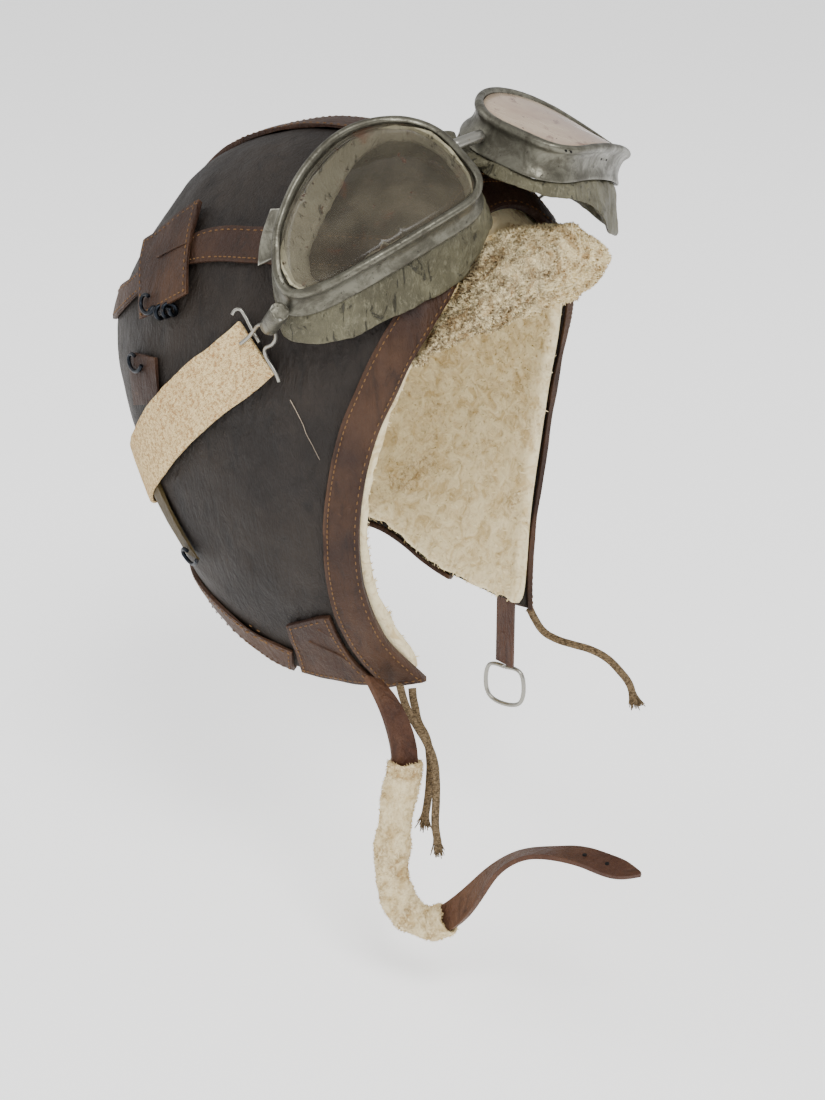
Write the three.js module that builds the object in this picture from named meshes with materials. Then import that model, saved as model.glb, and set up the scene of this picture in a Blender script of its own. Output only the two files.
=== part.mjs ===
// Leather flying helmet with goggles pushed up on the brow
// Millimetres, +Z up, the face looks toward -Y and the wearer's right is -X
// The origin is the top of the head, under the middle of the crown

import * as THREE from 'three';
import { mergeVertices } from 'three/addons/utils/BufferGeometryUtils.js';

// Clearances and walls
const GAP = 0.3;
const LEATHER = 1.8;
const TRIM = 1.5;
const FLEECE = 5.8;
// Room between the leather and the shearling
const EASE = 1.2;
// Room under a trim that lies on the leather
const SEAT = 0.5;

// Outside of the leather, as on a head of the wearer's size
const HEIGHT = 226;
const FRONT = 100;
const BACK = 104;
const HALF_WIDTH = 86;
const ROUND = 0.92;

// Shearling roll under the brow
const BROW_DROP = 31;
const BROW_SWELL = 21;
const BROW_REACH = 44;
const LINING_SHOW = 3;

// Bindings, bands, patches and tabs
const BINDING = 12;
const HEM_BINDING = 11;
const BAND = 14;
const TOP_STRIP = 20;
const PATCH_LONG = 34;
const PATCH_HIGH = 34;
const TAB_LONG = 36;
const TAB_HIGH = 30;
const LOWER_TAB = 26;
const NAPE_STRAP = 10;
const HOOK_WIRE = 2.2;
const HOOK_LONG = 13;

// Goggles
const LENS_LONG = 88.9;
const LENS_HIGH = 55.2;
const LENS_THICK = 1.6;
const LENS_BEND = 0.0033;
const CUP_DEEP = 13;
const CUP_WALL = 1.2;
const RIM = 2.3;
const CUSHION_LONG = 16;
const CUSHION_FLARE = 10;
const CUSHION_THICK = 3.2;
const BRIDGE_TUBE = 5;
const TEMPLE_TUBE = 7.5;
const TEMPLE_LONG = 16;
const BUCKLE_WIRE = 2;
const ELASTIC = 24.5;
const ELASTIC_THICK = 1.5;

// Chin strap, its sleeve and the laces
const STRAP = 11;
const STRAP_THICK = 2;
const STRAP_HANG = 97;
const SLEEVE_WALL = 1.5;
const LEFT_STRAP = 34;
const CHIN_BUCKLE = 17;
const LACE = 3.4;

// Sections of the helmet from the crown down
// level is a share of HEIGHT, front of FRONT, back of BACK and side of HALF_WIDTH
const SECTIONS = [
  { level: 0, front: 0, back: 0, side: 0 },
  { level: 0.014, front: 0.25, back: 0.24, side: 0.25 },
  { level: 0.049, front: 0.47, back: 0.47, side: 0.48 },
  { level: 0.1, front: 0.67, back: 0.64, side: 0.69 },
  { level: 0.18, front: 0.84, back: 0.76, side: 0.86 },
  { level: 0.29, front: 0.96, back: 0.94, side: 0.96 },
  { level: 0.42, front: 1, back: 1.01, side: 1 },
  { level: 0.55, front: 1, back: 0.935, side: 0.99 },
  { level: 0.675, front: 0.98, back: 0.81, side: 0.97 },
  { level: 0.8, front: 0.94, back: 0.65, side: 0.88 },
  { level: 0.91, front: 0.88, back: 0.54, side: 0.76 },
  { level: 1, front: 0.84, back: 0.48, side: 0.66 },
];

// Edge of the face opening, seen from the side
// level is a share of HEIGHT, ahead a share of FRONT
const FACE_EDGE = [
  { at: 0.107, ahead: 0.69 },
  { at: 0.17, ahead: 0.745 },
  { at: 0.23, ahead: 0.755 },
  { at: 0.28, ahead: 0.72 },
  { at: 0.345, ahead: 0.67 },
  { at: 0.415, ahead: 0.62 },
  { at: 0.5, ahead: 0.565 },
  { at: 0.6, ahead: 0.525 },
  { at: 0.69, ahead: 0.51 },
  { at: 0.775, ahead: 0.51 },
  { at: 0.85, ahead: 0.525 },
  { at: 0.91, ahead: 0.57 },
  { at: 0.955, ahead: 0.63 },
];

// Seam round the crown and the hem, seen from the side
// at is how far back of the crown, a share of FRONT, and level a share of HEIGHT
const SEAM = [
  { at: -0.8, level: 0.158 },
  { at: 0, level: 0.158 },
  { at: 0.25, level: 0.18 },
  { at: 0.55, level: 0.26 },
  { at: 0.8, level: 0.33 },
  { at: 1.05, level: 0.375 },
];
const HEM = [
  { at: -0.8, level: 0.945 },
  { at: -0.5, level: 0.96 },
  { at: -0.27, level: 0.964 },
  { at: 0, level: 0.945 },
  { at: 0.15, level: 0.915 },
  { at: 0.3, level: 0.882 },
  { at: 0.6, level: 0.855 },
  { at: 1, level: 0.845 },
];

// Outline of a lens, from its temple corner over the crown side to the nose and back
// along is a share of LENS_LONG toward the nose, across a share of LENS_HIGH toward the crown
const LENS_OUTLINE = [
  [-0.5, -0.03], [-0.47, 0.1], [-0.41, 0.2], [-0.34, 0.3], [-0.22, 0.39], [-0.09, 0.46],
  [0.05, 0.49], [0.18, 0.49], [0.3, 0.43], [0.4, 0.33], [0.47, 0.2], [0.5, 0.02],
  [0.48, -0.13], [0.46, -0.28], [0.43, -0.42], [0.38, -0.49], [0.3, -0.5], [0.2, -0.47],
  [0.08, -0.43], [-0.04, -0.38], [-0.16, -0.32], [-0.28, -0.25], [-0.39, -0.17], [-0.47, -0.09],
];

// Where each lens sits: its middle, the way it faces and the way to the nose
const RIGHT_LENS = lensPlace([-70.3, -56.3, -4.1], [-0.601, -0.401, 0.691], [0.798, -0.25, 0.549], 1);
const LEFT_LENS = lensPlace([34.6, -81.2, 12.1], [0.23, -0.33, 0.91], [-0.96, 0.09, 0.27], -1);

// Route of the elastic strap round the helmet
// turn is the angle from the brow round the right side, level a share of HEIGHT
const ELASTIC_ROUTE = [
  { turn: 82, level: 0.315 },
  { turn: 92, level: 0.391 },
  { turn: 104, level: 0.48 },
  { turn: 121, level: 0.585 },
  { turn: 145, level: 0.665 },
  { turn: 180, level: 0.685 },
  { turn: 215, level: 0.665 },
  { turn: 239, level: 0.585 },
  { turn: 256, level: 0.47 },
  { turn: 268, level: 0.36 },
  { turn: 282, level: 0.24 },
];

// Bends of the right buckle's wire and of its bar, found by hand
const BUCKLE_RIGHT = [
  [-88.7, -10.5, -60.7], [-88.2, -14.4, -57.4], [-89.3, -17.8, -54.2], [-92.8, -23.1, -50.2],
  [-95.9, -29.1, -49.1], [-95.6, -31.7, -49.5], [-91.5, -30, -54.5], [-89.7, -26.6, -58.2],
  [-88.1, -21.7, -60.8], [-87.1, -21.3, -64], [-86.9, -23.9, -67.6], [-86.9, -26.6, -71.1],
  [-86.5, -27, -73.5],
];
const BUCKLE_BAR_RIGHT = [
  [-86.6, -5.3, -50.5], [-85.9, -6.2, -48.4], [-85.1, -8.1, -48.1], [-84.6, -10.0, -50.6],
  [-84.8, -12.1, -53.6], [-85.0, -14.3, -56.6], [-85.1, -17.0, -59.9],
];

// Route of the chin strap from where it leaves the corner
// out, ahead and down are shares of STRAP_HANG, twist is in degrees
const STRAP_ROOT = [-62.5, -50, -201];
const STRAP_ROUTE = [
  { out: -0.025, ahead: 0.01, down: 0.02, twist: 72 },
  { out: 0.018, ahead: 0.117, down: 0.081, twist: 52 },
  { out: 0.052, ahead: 0.2, down: 0.178, twist: 31 },
  { out: 0.076, ahead: 0.245, down: 0.294, twist: 12 },
  { out: 0.089, ahead: 0.225, down: 0.435, twist: 1 },
  { out: 0.094, ahead: 0.203, down: 0.583, twist: 1 },
  { out: 0.1, ahead: 0.188, down: 0.731, twist: 2 },
  { out: 0.092, ahead: 0.189, down: 0.883, twist: 3 },
  { out: 0.085, ahead: 0.24, down: 1.009, twist: 4 },
  { out: 0.078, ahead: 0.361, down: 1.054, twist: 12 },
  { out: 0.064, ahead: 0.489, down: 0.952, twist: 32 },
  { out: 0.046, ahead: 0.584, down: 0.824, twist: 60 },
  { out: 0.028, ahead: 0.669, down: 0.695, twist: 81 },
  { out: 0.004, ahead: 0.781, down: 0.601, twist: 86 },
  { out: -0.019, ahead: 0.91, down: 0.563, twist: 79 },
  { out: -0.038, ahead: 1.039, down: 0.546, twist: 57 },
  { out: -0.053, ahead: 1.162, down: 0.565, twist: 47 },
  { out: -0.068, ahead: 1.288, down: 0.563, twist: 42 },
];
// Runs of the strap from its root to its tip, and those inside the sleeve
const STRAP_RUNS = 28;
const SLEEVE_FROM = 5;
const SLEEVE_TO = 16;

// Lace routes, chosen by hand
const LACE_RIGHT_LONG = [
  [-51.2, -58.4, -207.7], [-54, -62, -211.5], [-56, -65.5, -215], [-59, -72, -219],
  [-62, -79, -223.5], [-64, -83.7, -229.5],
  [-65, -85.4, -237.1], [-65.5, -85.8, -246.8], [-65.5, -85.5, -257.6], [-65, -86.5, -265.9],
];
const LACE_RIGHT_SHORT = [
  [-47.5, -62, -209.3], [-49, -63.5, -213], [-50.5, -65.5, -216],
  [-53, -68.5, -220], [-55.5, -74.5, -225.5],
  [-57.5, -77.5, -233.4], [-58.5, -78, -242], [-59, -77.5, -251.1], [-59, -76, -260.2],
];
const LACE_LEFT = [
  [49, -60.4, -208.8], [50, -62.5, -213.5], [50, -67, -218.5],
  [49.5, -74, -220.5], [49.5, -83, -221], [50, -92, -221.5],
  [50.5, -100, -224], [51, -106, -228.5], [52, -110.5, -234], [52.5, -112.5, -240],
];

// Finishes
const FINISH = {
  leather: finish(0x3c3430, 0.55, 0),
  brown: finish(0x5a3426, 0.5, 0),
  olive: finish(0x5a4b28, 0.6, 0),
  fleece: finish(0xdecfaf, 0.95, 0),
  paint: finish(0x96968c, 0.45, 0.7),
  cushion: finish(0x96947d, 0.7, 0),
  glass: finish(0x8a8378, 0.15, 0),
  elastic: finish(0xe6c8a0, 0.9, 0),
  wire: finish(0xb4b4b0, 0.35, 0.9),
  dark_wire: finish(0x2a3038, 0.4, 0.8),
  strap: finish(0x6e412d, 0.55, 0),
  cord: finish(0x786446, 0.9, 0),
};

const RAD = Math.PI / 180;
const TURN = 2 * Math.PI;
const TOP = EASE + LEATHER + FLEECE;

const helmet = new THREE.Group();

function finish(color, roughness, metalness) {
  return new THREE.MeshStandardMaterial({ color, roughness, metalness });
}

function add(name, geometry, material) {
  const mesh = new THREE.Mesh(geometry, material);
  mesh.name = name;
  helmet.add(mesh);
}

function vec(x, y, z) {
  return new THREE.Vector3(x, y, z);
}

function mix(a, b, t) {
  return a + (b - a) * t;
}

function clamp(value, low, high) {
  return Math.min(high, Math.max(low, value));
}

// Smooth curve through the rows of a table, read at x
function curveAt(table, key, column, x) {
  const last = table.length - 1;
  const t = clamp(x, table[0][key], table[last][key]);
  let i = 0;
  while (i < last - 1 && table[i + 1][key] < t) {
    i += 1;
  }
  const slope = (k) => {
    const a = table[Math.max(0, k - 1)];
    const b = table[Math.min(last, k + 1)];
    return (b[column] - a[column]) / (b[key] - a[key]);
  };
  const width = table[i + 1][key] - table[i][key];
  const f = (t - table[i][key]) / width;
  const f2 = f * f;
  const f3 = f2 * f;
  return table[i][column] * (2 * f3 - 3 * f2 + 1) + table[i + 1][column] * (3 * f2 - 2 * f3)
    + width * (slope(i) * (f3 - 2 * f2 + f) + slope(i + 1) * (f3 - f2));
}

// The helmet's outer surface
// A place on it is a turn from the brow round the right side, and a row of SECTIONS
const ROWS = SECTIONS.map((section, index) => ({ ...section, index }));
const LAST_ROW = ROWS.length - 1;
const HEIGHTS = Array.from({ length: 1101 }, (_, i) => rowHeight((i / 1100) * LAST_ROW));

function rowHeight(row) {
  const level = row < 1 ? SECTIONS[1].level * row * row : curveAt(ROWS, 'index', 'level', row);
  return TOP - HEIGHT * level;
}

function rowAt(z) {
  let low = 0;
  let high = HEIGHTS.length - 1;
  while (high - low > 1) {
    const middle = (low + high) >> 1;
    if (HEIGHTS[middle] > z) {
      low = middle;
    } else {
      high = middle;
    }
  }
  const f = clamp((HEIGHTS[low] - z) / (HEIGHTS[low] - HEIGHTS[high]), 0, 1);
  return ((low + f) / (HEIGHTS.length - 1)) * LAST_ROW;
}

function reachOf(row) {
  return {
    front: FRONT * curveAt(ROWS, 'index', 'front', row),
    back: BACK * curveAt(ROWS, 'index', 'back', row),
    side: HALF_WIDTH * curveAt(ROWS, 'index', 'side', row),
  };
}

function power(value, exponent) {
  return Math.sign(value) * Math.abs(value) ** exponent;
}

function surface(turn, row) {
  const reach = reachOf(row);
  const c = Math.cos(turn);
  const x = -reach.side * power(Math.sin(turn), ROUND);
  const y = -(c > 0 ? reach.front : reach.back) * power(c, ROUND);
  return vec(x, y, rowHeight(row));
}

function normalAt(turn, row) {
  const step = 0.02;
  if (row < step) {
    return vec(0, 0, 1);
  }
  const lower = Math.min(LAST_ROW, row + step);
  const down = surface(turn, lower).sub(surface(turn, row - step));
  const round = surface(turn + step, row).sub(surface(turn - step, row));
  const normal = round.cross(down).normalize();
  const middle = surface(turn, row).sub(vec(0, 0, TOP - HEIGHT * 0.35));
  return normal.dot(middle) < 0 ? normal.negate() : normal;
}

function skin(turn, row, lift) {
  return surface(turn, row).addScaledVector(normalAt(turn, row), lift);
}

function turnOf(x, y, row) {
  const reach = reachOf(Math.max(row, 0.01));
  const along = -y / (y < 0 ? reach.front : reach.back);
  const across = -x / reach.side;
  const turn = Math.atan2(power(across, 1 / ROUND), power(along, 1 / ROUND));
  return turn < 0 ? turn + TURN : turn;
}

// Place of a point seen from the side, on the right (side 1) or the left (side -1)
function sidePlace(y, z, side) {
  const row = rowAt(z);
  const reach = reachOf(row);
  const along = clamp(-y / (y < 0 ? reach.front : reach.back), -1, 1);
  const turn = Math.acos(power(along, 1 / ROUND));
  return { turn: side > 0 ? turn : TURN - turn, row };
}

function onSide(y, z, side, lift) {
  const place = sidePlace(y, z, side);
  return skin(place.turn, place.row, lift);
}

// Place under a point, found along the line from the middle of the head
const MIDDLE = vec(0, 0, TOP - HEIGHT * 0.35);

function placeUnder(point) {
  const way = point.clone().sub(MIDDLE);
  let low = 0;
  let high = 3;
  for (let i = 0; i < 24; i += 1) {
    const t = (low + high) / 2;
    const p = MIDDLE.clone().addScaledVector(way, t);
    const reach = reachOf(Math.max(rowAt(p.z), 0.01));
    const across = Math.abs(p.x) / reach.side;
    const along = Math.abs(p.y) / (p.y < 0 ? reach.front : reach.back);
    const inside = p.z < TOP && across ** (2 / ROUND) + along ** (2 / ROUND) < 1;
    if (inside) {
      low = t;
    } else {
      high = t;
    }
  }
  const hit = MIDDLE.clone().addScaledVector(way, low);
  const row = rowAt(hit.z);
  return { turn: turnOf(hit.x, hit.y, row), row };
}

// Nearest place on the surface, and how far the point stands off it
function settle(point) {
  const p = point.clone();
  let place = placeUnder(p);
  let height = 0;
  for (let i = 0; i < 3; i += 1) {
    const normal = normalAt(place.turn, place.row);
    const off = p.clone().sub(surface(place.turn, place.row)).dot(normal);
    p.addScaledVector(normal, -off);
    height += off;
    place = placeUnder(p);
  }
  return { ...place, height };
}

function snap(point, lift) {
  const place = settle(point);
  return skin(place.turn, place.row, lift);
}

// Edge, seam and hem
function edgeAhead(z, show) {
  const level = (TOP - z) / HEIGHT;
  return -FRONT * curveAt(FACE_EDGE, 'at', 'ahead', level) - show;
}

function openFace(point, show) {
  return point.z < TOP - HEIGHT * FACE_EDGE[0].at - show * 0.7 && point.y < edgeAhead(point.z, show);
}

function seamZ(y) {
  return TOP - HEIGHT * curveAt(SEAM, 'at', 'level', y / FRONT);
}

function hemZ(y) {
  return TOP - HEIGHT * curveAt(HEM, 'at', 'level', y / FRONT);
}

// Row at which a line down the surface leaves a region
function leaveRow(turn, within) {
  let low = 0;
  const steps = 60;
  for (let i = 1; i <= steps; i += 1) {
    const row = (i / steps) * LAST_ROW;
    if (!within(surface(turn, row))) {
      let high = row;
      for (let k = 0; k < 20; k += 1) {
        const middle = (low + high) / 2;
        if (within(surface(turn, middle))) {
          low = middle;
        } else {
          high = middle;
        }
      }
      return low;
    }
    low = row;
  }
  return LAST_ROW;
}

const seamRow = (turn) => leaveRow(turn, (p) => p.z > seamZ(p.y));
const hemRow = (turn) => leaveRow(turn, (p) => p.z > hemZ(p.y));

// Turn at which a row leaves the face opening
function faceTurn(rowOf, show) {
  let low = 0;
  let high = 100 * RAD;
  if (!openFace(surface(low, rowOf(low)), show)) {
    return 0;
  }
  for (let i = 0; i < 24; i += 1) {
    const turn = (low + high) / 2;
    if (openFace(surface(turn, rowOf(turn)), show)) {
      low = turn;
    } else {
      high = turn;
    }
  }
  return high;
}

// Closed solids
function solid(points, triangles) {
  const geometry = new THREE.BufferGeometry();
  const positions = points.flatMap((p) => [p.x, p.y, p.z]);
  geometry.setAttribute('position', new THREE.Float32BufferAttribute(positions, 3));
  geometry.setIndex(triangles.flat());
  const merged = mergeVertices(geometry, 1e-3);
  const index = Array.from(merged.index.array);
  const kept = [];
  for (let i = 0; i < index.length; i += 3) {
    const [a, b, c] = index.slice(i, i + 3);
    if (a !== b && b !== c && c !== a) {
      kept.push(a, b, c);
    }
  }
  const at = (k) => new THREE.Vector3().fromBufferAttribute(merged.getAttribute('position'), k);
  let volume = 0;
  for (let i = 0; i < kept.length; i += 3) {
    volume += at(kept[i]).dot(at(kept[i + 1]).cross(at(kept[i + 2])));
  }
  if (volume < 0) {
    for (let i = 0; i < kept.length; i += 3) {
      [kept[i + 1], kept[i + 2]] = [kept[i + 2], kept[i + 1]];
    }
  }
  merged.setIndex(kept);
  merged.computeVertexNormals();
  return merged;
}

// The two triangles of a four-cornered face, cut along its shorter diagonal
function halves(points, a, b, c, d) {
  const first = points[a].distanceTo(points[c]);
  const second = points[b].distanceTo(points[d]);
  return first < second + 1e-6 ? [[a, b, c], [a, c, d]] : [[a, b, d], [b, c, d]];
}

// A sheet with thickness from a grid of outer points and a grid of inner points
function slab(outer, inner) {
  const rows = outer.length;
  const columns = outer[0].length;
  const points = [...outer.flat(), ...inner.flat()];
  const o = (i, j) => i * columns + j;
  const n = (i, j) => rows * columns + i * columns + j;
  const triangles = [];
  const quad = (a, b, c, d) => triangles.push(...halves(points, a, b, c, d));
  const joined = (i) => outer[i][0].distanceTo(outer[i][columns - 1]) < 1e-4;
  for (let i = 0; i < rows - 1; i += 1) {
    for (let j = 0; j < columns - 1; j += 1) {
      quad(o(i, j), o(i + 1, j), o(i + 1, j + 1), o(i, j + 1));
      quad(n(i, j), n(i, j + 1), n(i + 1, j + 1), n(i + 1, j));
    }
    if (!joined(i) || !joined(i + 1)) {
      const e = columns - 1;
      quad(o(i + 1, 0), o(i, 0), n(i, 0), n(i + 1, 0));
      quad(o(i, e), o(i + 1, e), n(i + 1, e), n(i, e));
    }
  }
  for (let j = 0; j < columns - 1; j += 1) {
    const e = rows - 1;
    quad(o(0, j), o(0, j + 1), n(0, j + 1), n(0, j));
    quad(o(e, j + 1), o(e, j), n(e, j), n(e, j + 1));
  }
  return solid(points, triangles);
}

function grid(rows, columns, point) {
  return Array.from({ length: rows + 1 }, (_, i) => (
    Array.from({ length: columns + 1 }, (__, j) => point(i / rows, j / columns))
  ));
}

// A sheet that lies on the helmet between two lifts
function layer(rows, columns, place, low, high) {
  const at = (lift) => grid(rows, columns, (u, v) => {
    const p = place(u, v);
    return skin(p.turn, p.row, typeof lift === 'function' ? lift(u, v) : lift);
  });
  return slab(at(high), at(low));
}

// A solid through equal closed sections; an open run is capped with the flat section
function loft(rings, cap) {
  const count = rings[0].length;
  const points = rings.flat();
  const triangles = [];
  const runs = cap ? rings.length - 1 : rings.length;
  for (let i = 0; i < runs; i += 1) {
    const next = (i + 1) % rings.length;
    for (let j = 0; j < count; j += 1) {
      const k = (j + 1) % count;
      const a = i * count + j;
      const b = next * count + j;
      triangles.push(...halves(points, a, b, next * count + k, i * count + k));
    }
  }
  if (cap) {
    const end = (rings.length - 1) * count;
    const flat = cap.map(([x, y]) => new THREE.Vector2(x, y));
    const turnsLeft = !THREE.ShapeUtils.isClockWise(flat);
    THREE.ShapeUtils.triangulateShape(flat, []).forEach(([a, b, c]) => {
      const [p, q, r] = turnsLeft ? [a, b, c] : [a, c, b];
      triangles.push([p, q, r], [end + p, end + r, end + q]);
    });
  }
  return oriented(points, triangles);
}

// The caps of a loft follow its walls, whichever way its section runs
function oriented(points, triangles) {
  const byEdge = new Map();
  triangles.forEach((t, i) => {
    for (let k = 0; k < 3; k += 1) {
      const key = [t[k], t[(k + 1) % 3]].sort((a, b) => a - b).join(' ');
      byEdge.set(key, [...(byEdge.get(key) || []), i]);
    }
  });
  const seen = new Set([0]);
  const queue = [0];
  while (queue.length) {
    const t = triangles[queue.pop()];
    for (let k = 0; k < 3; k += 1) {
      const from = t[k];
      const to = t[(k + 1) % 3];
      const key = [from, to].sort((a, b) => a - b).join(' ');
      byEdge.get(key).filter((i) => !seen.has(i)).forEach((i) => {
        const other = triangles[i];
        const same = [0, 1, 2].some((m) => other[m] === from && other[(m + 1) % 3] === to);
        if (same) {
          [other[1], other[2]] = [other[2], other[1]];
        }
        seen.add(i);
        queue.push(i);
      });
    }
  }
  return solid(points, triangles);
}

// Round wire or cord along a smooth route
function tube(points, diameter, sides, steps) {
  const route = new THREE.CatmullRomCurve3(points.map((p) => vec(...p)), false, 'centripetal');
  const section = new THREE.Shape();
  for (let i = 0; i < sides; i += 1) {
    const turn = (i / sides) * TURN;
    const x = (diameter / 2) * Math.cos(turn);
    const y = (diameter / 2) * Math.sin(turn);
    if (i === 0) {
      section.moveTo(x, y);
    } else {
      section.lineTo(x, y);
    }
  }
  section.closePath();
  const made = new THREE.ExtrudeGeometry(section, { steps, extrudePath: route, bevelEnabled: false });
  made.deleteAttribute('normal');
  made.deleteAttribute('uv');
  const merged = mergeVertices(made, 1e-3);
  merged.computeVertexNormals();
  return merged;
}

// Leather panels
function crownPanel(side) {
  const within = (p) => !openFace(p, 0) && p.z > seamZ(p.y) + SEAT;
  const columns = 16;
  const rows = Array.from({ length: columns + 1 }, (_, j) => leaveRow((j / columns) * Math.PI, within));
  const shift = vec((-side * GAP) / 2, 0, 0);
  const at = (lift) => grid(8, columns, (u, v) => {
    const row = rows[Math.round(v * columns)] * u ** 0.85;
    const p = skin(v * Math.PI, row, lift);
    p.x *= side;
    return p.add(shift);
  });
  return slab(at(0), at(-LEATHER));
}

function sidePanel(side) {
  const shift = vec((-side * GAP) / 2, 0, 0);
  const rowOf = (v) => (turn) => {
    const high = rowHeight(seamRow(turn)) - SEAT;
    const low = rowHeight(hemRow(turn));
    return rowAt(mix(high, low, v));
  };
  const at = (lift) => grid(10, 16, (u, v) => {
    const start = faceTurn(rowOf(u), 0);
    const turn = mix(start, Math.PI, v);
    const p = skin(turn, rowOf(u)(turn), lift);
    p.x *= side;
    return p.add(shift);
  });
  return slab(at(0), at(-LEATHER));
}

// Shearling lining, closed over the crown and open at the face
function lining() {
  const outside = -LEATHER - EASE;
  const crownRows = 4;
  const lowRows = 7;
  const openZ = TOP - HEIGHT * FACE_EDGE[0].at - LINING_SHOW * 0.7;
  const openRow = rowAt(openZ);
  const at = (lift) => grid(crownRows + lowRows, 32, (u, v) => {
    const k = Math.round(u * (crownRows + lowRows));
    if (k <= crownRows) {
      return skin(v * TURN, (k / crownRows) * openRow, lift);
    }
    const share = ((k - crownRows) / lowRows) ** 1.35;
    const rowOf = (turn) => rowAt(mix(openZ, rowHeight(hemRow(turn)) + TRIM, share));
    const start = faceTurn(rowOf, LINING_SHOW);
    const turn = mix(start, TURN - start, v);
    return skin(turn, rowOf(turn), lift);
  });
  return slab(at(outside), at(outside - FLEECE));
}

// Shearling roll that hangs below the front edge
function browRoll() {
  const reach = BROW_REACH * RAD;
  const inner = -LEATHER - EASE - FLEECE;
  const topRow = (turn) => leaveRow(turn, (p) => !openFace(p, LINING_SHOW + EASE));
  const share = (v) => Math.abs(2 * v - 1);
  const place = (u, v) => {
    const turn = mix(reach, -reach, v);
    const top = rowHeight(topRow(turn)) - GAP;
    const drop = BROW_DROP * (1 - share(v) ** 1.5) + 1;
    return { turn, row: rowAt(top - drop * u) };
  };
  const swell = (u, v) => {
    const full = BROW_SWELL * (1 - share(v) ** 2.6);
    return -LEATHER - EASE + (full + 2) * Math.sin(Math.PI * clamp(u, 0, 1)) ** 0.6;
  };
  return layer(4, 14, place, inner, swell);
}

// Places along the edge of the face opening, from the right corner over the brow to the left
function edgePlaces() {
  const half = [];
  const browTurns = 7;
  const browEnd = 40 * RAD;
  for (let i = 0; i <= browTurns; i += 1) {
    const turn = (i / browTurns) * browEnd;
    half.push({ turn, row: leaveRow(turn, (p) => !openFace(p, 0)) });
  }
  const high = rowHeight(half[browTurns].row);
  const low = TOP - HEIGHT * FACE_EDGE[FACE_EDGE.length - 1].at;
  const steps = 12;
  for (let i = 1; i <= steps; i += 1) {
    const z = mix(high, low, i / steps);
    half.push(sidePlace(edgeAhead(z, 0), z, 1));
  }
  const left = half.slice(1).map(({ turn, row }) => ({ turn: TURN - turn, row }));
  return [...half.reverse(), ...left];
}

const EDGE = edgePlaces();
const EDGE_POINTS = EDGE.map(({ turn, row }) => surface(turn, row));

// Its ends are cut along the hem, not square
const SKEWED = 3;

function acrossEdge(i) {
  const before = EDGE_POINTS[Math.max(0, i - 1)];
  const after = EDGE_POINTS[Math.min(EDGE.length - 1, i + 1)];
  const normal = normalAt(EDGE[i].turn, EDGE[i].row);
  const along = after.clone().sub(before).normalize();
  const inward = normal.clone().cross(along);
  if (inward.dot(vec(0, 1, 0.5)) < 0) {
    inward.negate();
  }
  const fromEnd = Math.min(i, EDGE.length - 1 - i);
  const skew = 1 - clamp(fromEnd / SKEWED, 0, 1);
  const back = vec(0, 1, 0).addScaledVector(normal, -normal.y).normalize();
  back.divideScalar(back.dot(inward));
  return { normal, inward: inward.lerp(back, skew) };
}

// Binding folded over the edge; across is how far from the edge, lift how far off the leather
function foldedRing(point, normal, inward, width) {
  const section = foldedSection(width);
  return section.map(([across, lift]) => {
    const p = point.clone().addScaledVector(inward, across);
    return across > 0 ? snap(p, lift) : p.addScaledVector(normal, lift);
  });
}

function foldedSection(width) {
  return [
    [-EASE - TRIM, -LEATHER],
    [-EASE - TRIM, TRIM * 0.6],
    [-EASE, SEAT + TRIM],
    [width, SEAT + TRIM],
    [width, SEAT],
    [-EASE, SEAT],
    [-EASE, -LEATHER],
  ];
}

function faceBinding() {
  const rings = EDGE.map((place, i) => {
    const { normal, inward } = acrossEdge(i);
    return foldedRing(EDGE_POINTS[i], normal, inward, BINDING);
  });
  return loft(rings, foldedSection(BINDING));
}

function edgeDistance(point) {
  return Math.min(...EDGE_POINTS.map((p) => p.distanceTo(point)));
}

// Band over the seam round the crown
function slide(turn, row, distance) {
  const step = 0.02;
  const rate = surface(turn, row + step).distanceTo(surface(turn, row - step)) / (2 * step);
  return row + distance / rate;
}

function bandStart() {
  let turn = 20 * RAD;
  const clear = BINDING + EASE;
  const corners = (a) => [-0.5, 0.5].map((k) => surface(a, slide(a, seamRow(a), k * BAND)));
  while (Math.min(...corners(turn).map(edgeDistance)) < clear) {
    turn += 0.2 * RAD;
  }
  return turn;
}

const BAND_TURN = bandStart();

function seamBand() {
  const place = (u, v) => {
    const turn = mix(BAND_TURN, TURN - BAND_TURN, v);
    return { turn, row: slide(turn, seamRow(turn), (u - 0.5) * BAND) };
  };
  return layer(2, 34, place, SEAT, SEAT + TRIM);
}

// Strip over the middle seam, from the brow binding back to the seam band
function topStrip() {
  const edgeRow = leaveRow(0, (p) => !openFace(p, 0));
  const from = slide(0, edgeRow, -BINDING - 2 * GAP);
  const to = slide(Math.PI, seamRow(Math.PI), -BAND / 2 - 2 * GAP);
  const at = (lift) => grid(15, 2, (u, v) => {
    const t = mix(-from, to, u);
    const middle = surface(t < 0 ? 0 : Math.PI, Math.abs(t));
    return snap(middle.add(vec((v - 0.5) * TOP_STRIP, 0, 0)), lift);
  });
  return slab(at(SEAT + TRIM), at(SEAT));
}

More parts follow.
